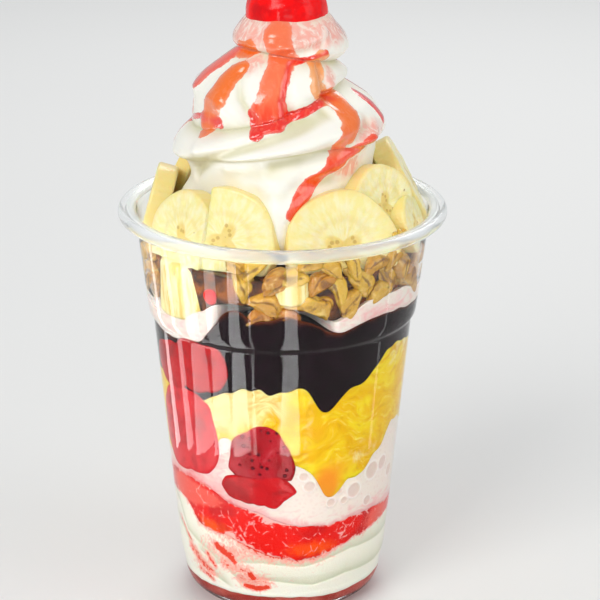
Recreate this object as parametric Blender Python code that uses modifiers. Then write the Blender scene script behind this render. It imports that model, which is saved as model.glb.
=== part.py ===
"""A banana split parfait, built together with its clear plastic cup.

Metres, +Z up. The cup stands on z = 0 with its axis on x = y = 0. Sizes below are in
millimetres. Azimuths are in degrees round the cup: 0 faces the viewer (-Y) and 90 is the
viewer's right (+X). Shares run from 0 on the axis to 1 at the cup's wall.
"""

import math
import random

import bmesh
import bpy
from mathutils import Euler, Matrix, Vector, noise

MM = 0.001

# Cup
CUP_HEIGHT = 122.2
RIM_RADIUS = 49.0
WALL = 0.8
STEPS_ROUND = 36
FLOOR_TOP = 2.2
RECESS_HEIGHT = 1.4
RECESS_RADIUS = 21.2
FOOT_INNER_RADIUS = 22.4
FOOT_RADIUS = 24.6
CORNER_HEIGHT = 8.0
CORNER_WIDTH = 5.8
INNER_CORNER_RADIUS = 24.4
INNER_CORNER_WIDTH = 5.2
INNER_CORNER_HEIGHT = 6.0
NECK_HEIGHT = 119.2
NECK_RADIUS = 43.8
RIM_FLARE = 3.0
BEAD_RADIUS = 1.8
BEAD_LIP = 0.8
# Heights and outer radii between which the wall runs straight, with the stacking step
WALL_LINE = ((14.0, 31.7), (88.0, 38.95), (92.0, 40.5), (NECK_HEIGHT, NECK_RADIUS))

# Contents
GAP = 0.3
STEP_CLEARANCE = 1.6  # the contents widen this far above the cup's own step
HEAP_TOP = 112.0
HEAP_SHARE = 0.9
HEAP_STEPS = 18
NUT_ROWS = ((103.6, 12, 0.0), (110.0, 12, 0.5))  # height, count and offset of each row
NUT_SINK = 2.6  # how much lower the nuts lie away from the front right
NUT_LENGTHS = (11.0, 14.5)
NUT_DEPTHS = (8.0, 9.5)
NUT_HEIGHTS = (8.0, 10.5)
NUT_INSET = 3.4  # how far the middle of a nut lies inside the wall
NUT_DENTS = 0.22
NUT_FREE = (-52, 27)  # azimuth and half width of the banana that takes the nuts' place
SLICE_THICKNESS = 6.4
SLICE_EDGE = 0.7
SLICE_SIDES = 18
SEAM_AZIMUTH = -37.5  # where the two front left slices meet
CHUNK_EDGE = 1.2
CHUNK_SIDES = 14
CHERRY_RADIUS = 12.0
CHERRY_HEIGHT = 179.8
CHERRY_OFFSET = 1.2
CHERRY_RINGS = 8
CHERRY_DIMPLE = (1.6, 4.0)  # depth and radius
CHERRY_PIECE = (-32, 38.4, 104.0)  # azimuth, radius and height of the small one by the wall
CHERRY_PIECE_SIZE = (5.2, 5.2, 5.2)
SEED = 7

# Soft-serve swirl
SWIRL_BASE = HEAP_TOP + GAP
SWIRL_TOP = 180.5
SWIRL_STEPS = 36
SWIRL_DROOP = 1.2
SWIRL_FOLD_DEPTH = 4.4
SWIRL_RINGS = (6, 6, 7, 5)  # rings in each tier, from the base up
# Heights and radii of the creases between the swirl's folds
CREASE_LINE = (
    (135.0, 29.0), (139.0, 29.0), (142.0, 27.5), (147.0, 26.5), (154.0, 22.4), (160.0, 18.8),
    (164.0, 16.4), (168.0, 14.8), (172.0, 13.0), (177.0, 11.0), (SWIRL_TOP, 10.6),
)
# Heights and sideways offsets of the swirl's middle, which leans as it was poured
SWIRL_MIDDLE = (
    (141.0, 0.0), (151.0, 0.8), (155.0, 0.0), (160.0, -2.8), (164.0, -2.2), (168.0, 0.2),
    (171.0, 1.8), (SWIRL_TOP, 1.8),
)
SWIRL_BASE_RADIUS = 26.4
# Where the base swells out between the slices: azimuth, half width, height, tallness, depth
BASE_SWELLS = (
    (-3.0, 11.0, 126.0, 11.0, 6.5), (-98.0, 24.0, 116.0, 12.0, 5.4),
    (93.0, 21.0, 116.0, 12.0, 4.4), (180.0, 24.0, 116.0, 12.0, 2.4),
)
SYRUP_DEPTH = 0.8
# Thick syrup that runs down the swirl: half width, then (azimuth, height) down its middle
SYRUP_RUNS = (
    (5.0, (-13, 176), (-3, 169), (0, 163), (-3, 157), (-9, 151)),
    (3.0, (33, 169), (34, 162), (42, 157)),
    (4.0, (-42, 165), (-41, 160), (-50, 155), (-58, 150)),
    (5.5, (60, 157), (46, 151)),
    (4.0, (50, 147), (36, 142), (24, 138), (10, 133)),
    (4.0, (-76, 168), (-80, 162)),
    (5.0, (118, 172), (112, 160), (118, 148)),
    (4.5, (162, 168), (170, 156), (164, 145)),
    (5.0, (-148, 173), (-140, 160), (-150, 150)),
    (3.5, (-112, 158), (-104, 146), (-108, 138)),
)

CLEAR = "clear_plastic"
# The strawberries, largest first: azimuth, radius, height, (width, depth, length), lean
STRAWBERRIES = {
    "strawberry_left": (-50, 28.5, 60.0, (28, 19, 27), 6),
    "strawberry_upper": (-44, 30.5, 81.0, (31, 19, 17), -4),
    "strawberry_centre": (-10, 28.0, 54.6, (21, 18, 22), -10),
    "strawberry_low": (-12, 27.0, 42.4, (24, 17, 12), 5),
    "strawberry_back": (150, 28.0, 58.0, (25, 19, 27), 8),
}
# The lengths of banana by the wall: azimuth, radius, height, (radius, length)
BANANA_CHUNKS = {
    "banana_chunk_left": (-52, 30.2, 103.4, (11.5, 16.8)),
    "banana_chunk_front": (4, 36.8, 107.8, (5.4, 8.0)),
}
# The slices that stand round the swirl: azimuth, radius, height, slice radius, facing, lean
BANANA_SLICES = {
    "banana_slice_front_right": (31.3, 32.2, 116.9, 16.9, 15, 12),
    "banana_slice_front_left": (-29.0, 32.0, 119.7, 15.2, -20, 12),
    "banana_slice_left": (-52.0, 34.2, 117.0, 14.6, -50, 14),
    "banana_slice_far_left": (-100.0, 38.0, 118.4, 13.6, -92, 15),
    "banana_slice_right_tall": (60.6, 31.6, 126.0, 12.0, 42, 12),
    "banana_slice_right_low": (72.3, 37.8, 119.0, 8.6, 72, 16),
    "banana_slice_far_right": (103.0, 36.6, 125.6, 15.0, 92, 29),
    "banana_slice_back_right": (135.0, 34.0, 122.0, 13.6, 135, 14),
    "banana_slice_back": (179.0, 33.5, 122.0, 14.0, 179, 12),
    "banana_slice_back_left": (222.0, 34.0, 122.0, 13.8, 222, 15),
}

LOOKS = {  # base colour and roughness
    CLEAR: ((0.86, 0.88, 0.90), 0.08),
    "base_syrup": ((0.33, 0.05, 0.04), 0.20),
    "soft_serve": ((0.95, 0.93, 0.86), 0.42),
    "strawberry_glaze": ((0.85, 0.06, 0.03), 0.15),
    "pink_ice_cream": ((0.93, 0.70, 0.70), 0.45),
    "pineapple": ((0.90, 0.62, 0.10), 0.30),
    "strawberry": ((0.66, 0.04, 0.05), 0.30),
    "hot_fudge": ((0.02, 0.007, 0.01), 0.15),
    "walnut": ((0.50, 0.27, 0.08), 0.28),
    "banana": ((0.93, 0.82, 0.45), 0.38),
    "cherry": ((0.80, 0.0, 0.01), 0.12),
}


def interpolate(line, position):
    """The second value at this position along a line of (position, value) points."""
    if position <= line[0][0]:
        return line[0][1]
    for (low, low_value), (high, high_value) in zip(line, line[1:]):
        if position <= high:
            return low_value + (high_value - low_value) * (position - low) / (high - low)
    return line[-1][1]


def arc(centre, width, height, start, end, steps):
    """Points (radius, height) along an elliptical arc, its angles in degrees."""
    angles = [math.radians(start + (end - start) * i / steps) for i in range(steps + 1)]
    return [
        (centre[0] + width * math.cos(a), centre[1] + height * math.sin(a)) for a in angles
    ]


def polar(azimuth, radius, height):
    """A point in millimetres at this azimuth, seen from the front as described above."""
    angle = math.radians(azimuth)
    return Vector((radius * math.sin(angle), -radius * math.cos(angle), height))


def azimuth_of(point):
    return math.degrees(math.atan2(point.x, -point.y))


def turn_between(azimuth, other):
    return (azimuth - other + 180.0) % 360.0 - 180.0


def surface(level, *bumps):
    """A layer's top: level on the axis, with (azimuth, half width, height) bumps at the wall."""

    def height(azimuth, share):
        rise = sum(
            tall * math.exp(-((turn_between(azimuth, centre) / width) ** 2))
            for centre, width, tall in bumps
        )
        return level + rise * share**3

    return height


def inner_line():
    """The cup's inner side from the floor to the neck, as (radius, height) points."""
    corner = arc(
        (INNER_CORNER_RADIUS, FLOOR_TOP + INNER_CORNER_HEIGHT),
        INNER_CORNER_WIDTH, INNER_CORNER_HEIGHT, -90, 0, 3,
    )
    return corner + [(radius - WALL, height) for height, radius in WALL_LINE]


def contents_radius(height):
    """How far the contents reach at this height, a gap short of the cup's inner side."""
    line = []
    step_heights = (WALL_LINE[1][0], WALL_LINE[2][0])
    for radius, level in inner_line():
        shift = STEP_CLEARANCE if level in step_heights else 0.0
        line.append((level + shift, radius))
    return interpolate(line, height) - GAP


# Tops of the layers, from the bottom of the cup up
BASE_SYRUP_TOP = surface(6.5, (30, 14, -0.9))
LOWER_CREAM_TOP = surface(24.5, (5, 34, -7.0), (58, 14, 3.0), (-72, 20, 9.0))
GLAZE_TOP = surface(34.0, (-52, 30, 8.0), (45, 50, -5.0))
PINK_CREAM_TOP = surface(47.0, (25, 12, -11.0), (68, 13, 10.0))
PINEAPPLE_TOP = surface(77.0, (20, 9, -7.0), (60, 14, 8.5), (-42, 14, -6.0))
FUDGE_TOP = surface(94.0, (3, 22, 6.5), (58, 14, 3.5), (-55, 20, -4.5), (-21, 7, 8.0))
UPPER_CREAM_RISE = surface(3.0, (-52, 20, 5.0), (44, 12, 6.0), (180, 60, 4.0))


def upper_cream_top(azimuth, share):
    return FUDGE_TOP(azimuth, share) + UPPER_CREAM_RISE(azimuth, share)


def at_front(azimuth):
    """1 where nuts and fudge show before the upper ice cream, 0 elsewhere."""
    return math.exp(-((turn_between(azimuth, -4) / 24.0) ** 4))


def upper_cream_bottom(azimuth, share):
    return FUDGE_TOP(azimuth, share) + GAP + 1.2 * at_front(azimuth)


def upper_cream_reach(azimuth):
    """The upper ice cream draws back from the wall at the front."""
    return 1.0 - 0.32 * at_front(azimuth)


def whole_reach(_azimuth):
    return 1.0


def floor_height(_azimuth, _share):
    return FLOOR_TOP + GAP / 2


def material(name):
    made = bpy.data.materials.get(name)
    if made:
        return made
    colour, roughness = LOOKS[name]
    made = bpy.data.materials.new(name)
    made.use_nodes = True
    shader = made.node_tree.nodes["Principled BSDF"]
    shader.inputs["Base Color"].default_value = (*colour, 1.0)
    shader.inputs["Roughness"].default_value = roughness
    if name == CLEAR:
        shader.inputs["Transmission Weight"].default_value = 1.0
    made.diffuse_color = (*colour, 0.3 if name == CLEAR else 1.0)
    return made


def clear_scene():
    for found in list(bpy.data.objects):
        bpy.data.objects.remove(found, do_unlink=True)
    for found in list(bpy.data.collections):
        bpy.data.collections.remove(found)


def new_collection(name):
    made = bpy.data.collections.new(name)
    bpy.context.scene.collection.children.link(made)
    return made


def add_piece(bm, name, look, collection):
    """Turns a bmesh in millimetres into a named object."""
    bmesh.ops.recalc_face_normals(bm, faces=bm.faces)
    bmesh.ops.scale(bm, vec=(MM, MM, MM), verts=bm.verts)
    mesh = bpy.data.meshes.new(name)
    bm.to_mesh(mesh)
    bm.free()
    mesh.shade_smooth()
    mesh.set_sharp_from_angle(angle=math.radians(35))
    if look:
        mesh.materials.append(material(look))
    piece = bpy.data.objects.new(name, mesh)
    collection.objects.link(piece)
    return piece


def mapped_sphere(steps, rings, place):
    """A sphere whose every vertex goes where place(azimuth, ring) says; ring 0 is on top.

    The quads of both caps are cut along the same diagonals, so layers nest face to face.
    """
    bm = bmesh.new()
    bmesh.ops.create_uvsphere(bm, u_segments=steps, v_segments=rings, radius=1.0)
    ring_of = {}
    for vertex in bm.verts:
        ring_of[vertex] = round(math.acos(max(-1.0, min(1.0, vertex.co.z))) * rings / math.pi)
    for vertex, ring in ring_of.items():
        vertex.co = place(azimuth_of(vertex.co), ring)
    for method, wanted in (("FIXED", True), ("ALTERNATE", False)):
        faces = [
            face
            for face in bm.faces
            if len(face.verts) == 4
            and (sum(ring_of.get(v, 0) for v in face.verts) < 2 * rings) == wanted
        ]
        bmesh.ops.triangulate(bm, faces=faces, quad_method=method)
    return bm


def grown(piece, cutters, by=GAP):
    """The convex hull of a rounded piece, pushed out by the gap, for cutting its neighbours."""
    bm = bmesh.new()
    bm.from_mesh(piece.data)
    hull = bmesh.ops.convex_hull(bm, input=bm.verts)
    kept = {item for item in hull["geom"] if isinstance(item, bmesh.types.BMFace)}
    bmesh.ops.delete(
        bm, geom=[face for face in bm.faces if face not in kept], context="FACES_ONLY"
    )
    loose = [edge for edge in bm.edges if not edge.link_faces]
    bmesh.ops.delete(bm, geom=loose, context="EDGES")
    bmesh.ops.delete(bm, geom=[v for v in bm.verts if not v.link_faces], context="VERTS")
    bmesh.ops.recalc_face_normals(bm, faces=bm.faces)
    bm.normal_update()
    most = 3 * by * MM
    moves = {v: v.normal * min(v.calc_shell_factor() * by * MM, most) for v in bm.verts}
    for vertex, move in moves.items():
        vertex.co += move
    mesh = bpy.data.meshes.new("around_" + piece.name)
    bm.to_mesh(mesh)
    bm.free()
    return as_cutter(bpy.data.objects.new("around_" + piece.name, mesh), cutters)


def as_cutter(cutter, cutters):
    cutter.hide_render = True
    cutter.display_type = "WIRE"
    if cutter.name not in cutters.objects:
        cutters.objects.link(cutter)
    return cutter


def apply_modifiers(piece):
    graph = bpy.context.evaluated_depsgraph_get()
    mesh = bpy.data.meshes.new_from_object(piece.evaluated_get(graph))
    piece.modifiers.clear()
    piece.data = mesh


def drop_scraps(piece):
    """Keeps the largest body that the cuts left."""
    bm = bmesh.new()
    bm.from_mesh(piece.data)
    bmesh.ops.dissolve_degenerate(bm, edges=bm.edges, dist=0.002 * MM)
    left = set(bm.verts)
    bodies = []
    while left:
        body, front = set(), [left.pop()]
        while front:
            vertex = front.pop()
            body.add(vertex)
            for edge in vertex.link_edges:
                other = edge.other_vert(vertex)
                if other in left:
                    left.discard(other)
                    front.append(other)
        bodies.append(body)
    bodies.sort(key=len)
    for body in bodies[:-1]:
        bmesh.ops.delete(bm, geom=list(body), context="VERTS")
    bmesh.ops.triangulate(bm, faces=bm.faces)
    bm.to_mesh(piece.data)
    bm.free()


def cut_round(piece, cutters, solver="EXACT"):
    """Cuts the room for its neighbours out of a piece."""
    for cutter in cutters:
        cut = piece.modifiers.new(cutter.name, "BOOLEAN")
        cut.operation = "DIFFERENCE"
        cut.solver = solver
        cut.object = cutter
    apply_modifiers(piece)
    drop_scraps(piece)


def make_cup(parts):
    """The cup: one profile from the floor, up the inside, over the rim and down the outside."""
    flare = (NECK_RADIUS - WALL + RIM_FLARE, NECK_HEIGHT)
    bead = (RIM_RADIUS - BEAD_RADIUS, CUP_HEIGHT - BEAD_RADIUS)
    under = (bead[0] - BEAD_LIP, bead[1])
    profile = [(0.0, FLOOR_TOP)]
    profile += inner_line()
    profile += arc(flare, RIM_FLARE, RIM_FLARE, 180, 90, 2)[1:]
    profile += arc(bead, BEAD_RADIUS, BEAD_RADIUS, 90, -90, 4)
    profile += [(under[0], under[1] - BEAD_LIP), (under[0], CUP_HEIGHT - WALL)]
    profile += arc(flare, RIM_FLARE - WALL, RIM_FLARE - WALL, 90, 180, 2)
    profile += [(radius, height) for height, radius in reversed(WALL_LINE[:-1])]
    profile += arc((FOOT_RADIUS, CORNER_HEIGHT), CORNER_WIDTH, CORNER_HEIGHT, 0, -90, 3)
    profile += [(FOOT_INNER_RADIUS, 0.0), (RECESS_RADIUS, RECESS_HEIGHT), (0.0, RECESS_HEIGHT)]
    bm = bmesh.new()
    points = [bm.verts.new((radius, 0.0, height)) for radius, height in profile]
    for first, second in zip(points, points[1:]):
        bm.edges.new((first, second))
    cup = add_piece(bm, "cup", CLEAR, parts)
    screw = cup.modifiers.new("Turned profile", "SCREW")
    screw.steps = STEPS_ROUND
    screw.render_steps = STEPS_ROUND
    screw.use_merge_vertices = True
    screw.merge_threshold = 0.05 * MM
    screw.use_smooth_shade = True
    return cup


def make_layer(
    name, look, parts, bottom, top, reach=whole_reach, side_heights=(), steps=STEPS_ROUND
):
    """One layer of the contents between two surfaces, out to the cup's wall."""
    cap = (0.0, 0.5, 0.85)
    sides = (None, *side_heights, None)
    rings = 2 * len(cap) + len(sides) - 1

    def place(azimuth, ring):
        from_bottom = rings - ring
        if ring < len(cap):
            share = cap[ring] * reach(azimuth)
            return spot(azimuth, share, top(azimuth, share) - GAP / 2)
        if from_bottom < len(cap):
            share = cap[from_bottom] * reach(azimuth)
            return spot(azimuth, share, bottom(azimuth, share) + GAP / 2)
        share = reach(azimuth)
        high = top(azimuth, share) - GAP / 2
        low = bottom(azimuth, share) + GAP / 2
        number = ring - len(cap)
        if number == 0:
            return spot(azimuth, share, high)
        if number == len(sides) - 1:
            return spot(azimuth, share, low)
        room = (high - low) / len(sides)
        height = min(side_heights[number - 1], high - room * number)
        return spot(azimuth, share, max(height, low + room * (len(sides) - 1 - number)))

    def spot(azimuth, share, height):
        return polar(azimuth, share * contents_radius(height), height)

    return add_piece(mapped_sphere(steps, rings, place), name, look, parts)


def press_to_wall(bm):
    """Flattens what would pass through the cup's wall against it."""
    for vertex in bm.verts:
        limit = contents_radius(vertex.co.z)
        radius = math.hypot(vertex.co.x, vertex.co.y)
        if radius > limit:
            vertex.co.x *= limit / radius
            vertex.co.y *= limit / radius


def make_berry(name, look, parts, azimuth, radius, height, size, lean=0.0, taper=0.35):
    """A berry of (width, depth, length), its tip down, leaning by some degrees."""
    bm = bmesh.new()
    bmesh.ops.create_uvsphere(bm, u_segments=10, v_segments=7, radius=0.5)
    for vertex in bm.verts:
        narrow = 1.0 - taper * (0.5 - vertex.co.z) ** 1.6
        vertex.co = (
            vertex.co.x * narrow * size[0],
            vertex.co.y * narrow * size[1],
            vertex.co.z * size[2],
        )
    around = Matrix.Rotation(math.radians(azimuth), 4, "Z")
    turn = around @ Matrix.Rotation(math.radians(lean), 4, "Y")
    bm.transform(Matrix.Translation(polar(azimuth, radius, height)) @ turn)
    press_to_wall(bm)
    return add_piece(bm, name, look, parts)


def round_rims(bm, width):
    """Takes the edge off both ends of an upright cylinder."""
    rims = [edge for edge in bm.edges if abs(edge.verts[0].co.z - edge.verts[1].co.z) < 0.01]
    bmesh.ops.bevel(bm, geom=rims, offset=width, segments=1, affect="EDGES")


def make_banana_chunk(name, parts, azimuth, radius, height, size):
    """A short upright length of banana of (radius, length), pressed against the wall."""
    bm = bmesh.new()
    bmesh.ops.create_cone(
        bm, cap_ends=True, segments=CHUNK_SIDES, radius1=size[0], radius2=size[0], depth=size[1]
    )
    round_rims(bm, CHUNK_EDGE)
    bm.transform(Matrix.Translation(polar(azimuth, radius, height)))
    press_to_wall(bm)
    return add_piece(bm, name, "banana", parts)


def make_slice(name, parts, azimuth, radius, height, slice_radius, facing, lean):
    """A banana slice that faces some azimuth, leans back and stands on the walnuts."""
    bm = bmesh.new()
    bmesh.ops.create_cone(
        bm, cap_ends=True, segments=SLICE_SIDES, radius1=slice_radius, radius2=slice_radius,
        depth=SLICE_THICKNESS,
    )
    for vertex in bm.verts:
        around = math.atan2(vertex.co.y, vertex.co.x)
        uneven = 1.0 + 0.02 * math.sin(5 * around + azimuth) + 0.015 * math.sin(2 * around)
        vertex.co.x *= uneven
        vertex.co.y *= uneven
    round_rims(bm, SLICE_EDGE)
    turn = Euler((math.radians(90 - lean), 0.0, math.radians(facing))).to_matrix().to_4x4()
    bm.transform(Matrix.Translation(polar(azimuth, radius, height)) @ turn)
    press_to_wall(bm)
    cut_flat(bm, Vector((0.0, 0.0, HEAP_TOP + GAP)), Vector((0.0, 0.0, -1.0)))
    return add_piece(bm, name, "banana", parts)


def cut_flat(bm, point, outward):
    """Cuts off what lies beyond a plane and closes the cut."""
    found = bmesh.ops.bisect_plane(
        bm, geom=bm.verts[:] + bm.edges[:] + bm.faces[:],
        plane_co=point, plane_no=outward, clear_outer=True,
    )
    rim = [edge for edge in found["geom_cut"] if isinstance(edge, bmesh.types.BMEdge)]
    bmesh.ops.holes_fill(bm, edges=rim)


def split_between(first, second, azimuth):
    """Cuts two overlapping slices along one upright plane, so that they meet in a seam."""
    across = polar(azimuth + 90, 1.0, 0.0)
    for piece, side in ((first, 1.0), (second, -1.0)):
        bm = bmesh.new()
        bm.from_mesh(piece.data)
        cut_flat(bm, across * (-side * GAP / 2 * MM), across * side)
        bm.to_mesh(piece.data)
        bm.free()


def make_walnut(azimuth, radius, height, size, turn, helpers):
    """A walnut piece: a dented, uneven lump pressed against the wall."""
    bm = bmesh.new()
    bmesh.ops.create_uvsphere(bm, u_segments=7, v_segments=4, radius=0.5)
    for vertex in bm.verts:
        place = vertex.co * 3.4 + Vector((azimuth, height, 0.0))
        dent = 1.0 + NUT_DENTS * noise.noise(place)
        vertex.co = Vector(a * b for a, b in zip(vertex.co * dent, size))
    bm.transform(Matrix.Rotation(turn, 4, "Y"))
    place = Matrix.Translation(polar(azimuth, radius, height))
    bm.transform(place @ Matrix.Rotation(math.radians(azimuth), 4, "Z"))
    press_to_wall(bm)
    return add_piece(bm, f"walnut_{azimuth:.0f}_{height:.0f}", None, helpers)


def make_walnut_heap(parts, helpers, cutters):
    """The walnuts in syrup: a smaller core with the nuts that show at the wall fused on."""
    heap = make_layer(
        "walnut_heap", "walnut", parts, upper_cream_top,
        lambda azimuth, share: HEAP_TOP + GAP / 2, reach=lambda azimuth: HEAP_SHARE,
        steps=HEAP_STEPS,
    )
    for height, count, offset in NUT_ROWS:
        for number in range(count):
            azimuth = 360.0 * (number + offset) / count + random.uniform(-3, 3)
            base = max(upper_cream_top(azimuth, 1.0), FUDGE_TOP(azimuth, 1.0))
            sizes = (NUT_LENGTHS, NUT_DEPTHS, NUT_HEIGHTS)
            size = tuple(random.uniform(*limits) for limits in sizes)
            sunk = 0.0 if abs(turn_between(azimuth, 20)) < 50 else NUT_SINK
            level = max(height + random.uniform(-0.7, 0.7) - sunk, base + size[2] * 0.62)
            free_middle, free_width = NUT_FREE
            if abs(turn_between(azimuth, free_middle)) < free_width or level > HEAP_TOP:
                continue
            turn = random.uniform(-0.3, 0.3)
            radius = contents_radius(level) - NUT_INSET
            make_walnut(azimuth, radius, level, size, turn, helpers)
    union = heap.modifiers.new("Walnuts", "BOOLEAN")
    union.operation = "UNION"
    union.solver = "MANIFOLD"
    union.operand_type = "COLLECTION"
    union.collection = helpers
    apply_modifiers(heap)
    for walnut in list(helpers.objects):
        bpy.data.objects.remove(walnut, do_unlink=True)
    cut_round(heap, cutters, solver="MANIFOLD")
    return heap


def crease_heights(azimuth):
    """Heights of the creases between the swirl's tiers, its base and its top included."""
    angle = math.radians(azimuth)
    side, front = math.sin(angle), math.cos(angle)
    return (
        SWIRL_BASE,
        139.5 + 4.5 * front + 3.0 * side,
        154.0 + 7.0 * side + 0.5 * front,
        168.0 - 2.2 * side + 2.0 * front,
        SWIRL_TOP,
    )


def syrup_depth(azimuth, radius, height):
    """How thick the syrup lies on the swirl here."""
    most = 0.0
    for half_width, *line in SYRUP_RUNS:
        for (first, top), (second, bottom) in zip(line, line[1:]):
            along = max(0.0, min(1.0, (height - top) / (bottom - top)))
            middle = first + (second - first) * along
            across = math.radians(turn_between(azimuth, middle)) * radius
            away = height - top - (bottom - top) * along
            share = math.hypot(across, away) / half_width
            most = max(most, math.exp(-(share**4)))
    return SYRUP_DEPTH * most


def swirl_spot(azimuth, tier, phase):
    """A point on the swirl: phase runs from 0 at a tier's lower crease to 1 at its upper one."""
    creases = crease_heights(azimuth)
    height = creases[tier] + (creases[tier + 1] - creases[tier]) * phase
    fold = math.sin(math.pi * phase) ** 0.75
    radius = interpolate(CREASE_LINE, height)
    middle = Vector((interpolate(SWIRL_MIDDLE, height), 0.0, 0.0))
    if tier == 0:
        radius = SWIRL_BASE_RADIUS + (radius - SWIRL_BASE_RADIUS) * phase**8
        for centre, width, level, tall, depth in BASE_SWELLS:
            across = turn_between(azimuth, centre) / width
            radius += depth * math.exp(-(across**2) - ((height - level) / tall) ** 4)
        radius += syrup_depth(azimuth, radius, height)
        return polar(azimuth, radius, height)
    height -= SWIRL_DROOP * fold
    radius += SWIRL_FOLD_DEPTH * fold + syrup_depth(azimuth, radius, height)
    return middle + polar(azimuth, radius, height)


def make_swirl(parts, cutters):
    """The soft-serve swirl: tiers of folds over creases that climb round it."""
    levels = [
        (tier, ring / count)
        for tier, count in reversed(list(enumerate(SWIRL_RINGS)))
        for ring in range(count - 1, -1, -1)
    ]
    rings = len(levels) + 2

    def place(azimuth, ring):
        if ring == 0:
            return Vector((interpolate(SWIRL_MIDDLE, SWIRL_TOP), 0.0, SWIRL_TOP - 0.5))
        if ring == rings:
            return Vector((0.0, 0.0, SWIRL_BASE))
        if ring == rings - 1:
            return polar(azimuth, 0.5 * SWIRL_BASE_RADIUS, SWIRL_BASE)
        return swirl_spot(azimuth, *levels[ring - 1])

    sphere = mapped_sphere(SWIRL_STEPS, rings, place)
    swirl = add_piece(sphere, "soft_serve_swirl", "soft_serve", parts)
    cut_round(swirl, cutters)
    return swirl


def make_cherry(parts):
    """The cherry: a ball, slightly flat, with the dimple of its missing stem on top."""

    def place(azimuth, ring):
        angle = math.pi * ring / CHERRY_RINGS
        radius = CHERRY_RADIUS * math.sin(angle)
        depth, width = CHERRY_DIMPLE
        dimple = depth * math.exp(-((radius / width) ** 2)) if ring < CHERRY_RINGS / 2 else 0.0
        height = CHERRY_HEIGHT + CHERRY_RADIUS * math.cos(angle) - dimple
        return polar(azimuth, radius, height) + Vector((CHERRY_OFFSET, 0.0, 0.0))

    sphere = mapped_sphere(2 * CHERRY_RINGS, CHERRY_RINGS, place)
    return add_piece(sphere, "cherry", "cherry", parts)


def make_fruit(parts, cutters):
    """The strawberries that show through the wall; each is trimmed where an earlier one lies."""
    rooms = []
    for name, shape in STRAWBERRIES.items():
        berry = make_berry(name, "strawberry", parts, *shape)
        cut_round(berry, rooms)
        rooms.append(grown(berry, cutters))
    return rooms


def make_banana_slices(parts, cutters):
    """The banana slices round the swirl; each is trimmed where an earlier one lies."""
    rooms = []
    made = {name: make_slice(name, parts, *shape) for name, shape in BANANA_SLICES.items()}
    split_between(made["banana_slice_left"], made["banana_slice_front_left"], SEAM_AZIMUTH)
    for piece in made.values():
        cut_round(piece, rooms)
        rooms.append(grown(piece, cutters))
    return rooms


def build():
    random.seed(SEED)
    clear_scene()
    parts = new_collection("banana_split_parfait")
    cutters = new_collection("cutters")
    helpers = new_collection("walnuts")
    make_cup(parts)

    berries = make_fruit(parts, cutters)
    chunks = [
        grown(make_banana_chunk(name, parts, *shape), cutters)
        for name, shape in BANANA_CHUNKS.items()
    ]
    small = make_berry("cherry_piece", "cherry", parts, *CHERRY_PIECE, CHERRY_PIECE_SIZE, taper=0.0)
    chunks.append(grown(small, cutters))
    slices = make_banana_slices(parts, cutters)

    upper_cream = make_layer(
        "upper_ice_cream", "pink_ice_cream", parts, upper_cream_bottom, upper_cream_top,
        reach=upper_cream_reach,
    )
    cut_round(upper_cream, chunks)
    upper_room = as_cutter(
        make_layer(
            "around_upper_ice_cream", "pink_ice_cream", cutters,
            lambda azimuth, share: upper_cream_bottom(azimuth, share) - 2 * GAP,
            lambda azimuth, share: upper_cream_top(azimuth, share) + GAP,
            reach=lambda azimuth: upper_cream_reach(azimuth) + 0.02,
        ),
        cutters,
    )

    layers = (  # name, look, bottom, top, side heights, what is cut out
        ("base_syrup", "base_syrup", floor_height, BASE_SYRUP_TOP, (4.2,), []),
        ("lower_soft_serve", "soft_serve", BASE_SYRUP_TOP, LOWER_CREAM_TOP, (14.0,), []),
        ("strawberry_glaze", "strawberry_glaze", LOWER_CREAM_TOP, GLAZE_TOP, (), []),
        ("pink_ice_cream", "pink_ice_cream", GLAZE_TOP, PINK_CREAM_TOP, (), berries),
        ("crushed_pineapple", "pineapple", PINK_CREAM_TOP, PINEAPPLE_TOP, (), berries),
        ("hot_fudge", "hot_fudge", PINEAPPLE_TOP, FUDGE_TOP, (93.6, 89.6), berries),
    )
    for name, look, bottom, top, sides, rooms in layers:
        layer = make_layer(name, look, parts, bottom, top, side_heights=sides)
        if rooms:
            cut_round(layer, rooms)

    make_walnut_heap(parts, helpers, slices + chunks + [upper_room])
    cherry = make_cherry(parts)
    make_swirl(parts, slices + [grown(cherry, cutters)])


build()
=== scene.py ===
"""Fine surfaces and finishes of a banana split parfait in its clear plastic cup.

Sizes are in millimetres and are turned into metres where a mesh is made. Azimuths are in degrees
round the cup: 0 faces the camera (-Y) and 90 is the viewer's right (+X). Shares run from 0 on the
axis to 1 at the cup's wall.
"""

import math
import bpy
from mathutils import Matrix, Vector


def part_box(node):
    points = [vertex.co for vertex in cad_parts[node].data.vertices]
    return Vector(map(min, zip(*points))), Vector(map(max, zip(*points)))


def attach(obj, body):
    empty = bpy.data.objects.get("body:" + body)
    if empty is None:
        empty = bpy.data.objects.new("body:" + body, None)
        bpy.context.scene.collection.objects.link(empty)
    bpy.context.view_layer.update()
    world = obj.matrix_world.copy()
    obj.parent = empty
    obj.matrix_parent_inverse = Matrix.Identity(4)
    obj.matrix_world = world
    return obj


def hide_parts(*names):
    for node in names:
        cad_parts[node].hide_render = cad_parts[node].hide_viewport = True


bl_info = {
    "name": "Banana split parfait",
    "version": (1, 0, 0),
    "blender": (4, 5, 0),
    "location": "3D View > Sidebar > Parfait",
    "description": "Builds a banana split parfait in a clear cup, piece by piece",
    "category": "Add Mesh",
}

import bmesh
import bpy
import numpy as np
from bpy.props import FloatProperty, FloatVectorProperty, IntProperty, PointerProperty
from mathutils import Euler, Matrix, Vector

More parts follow.
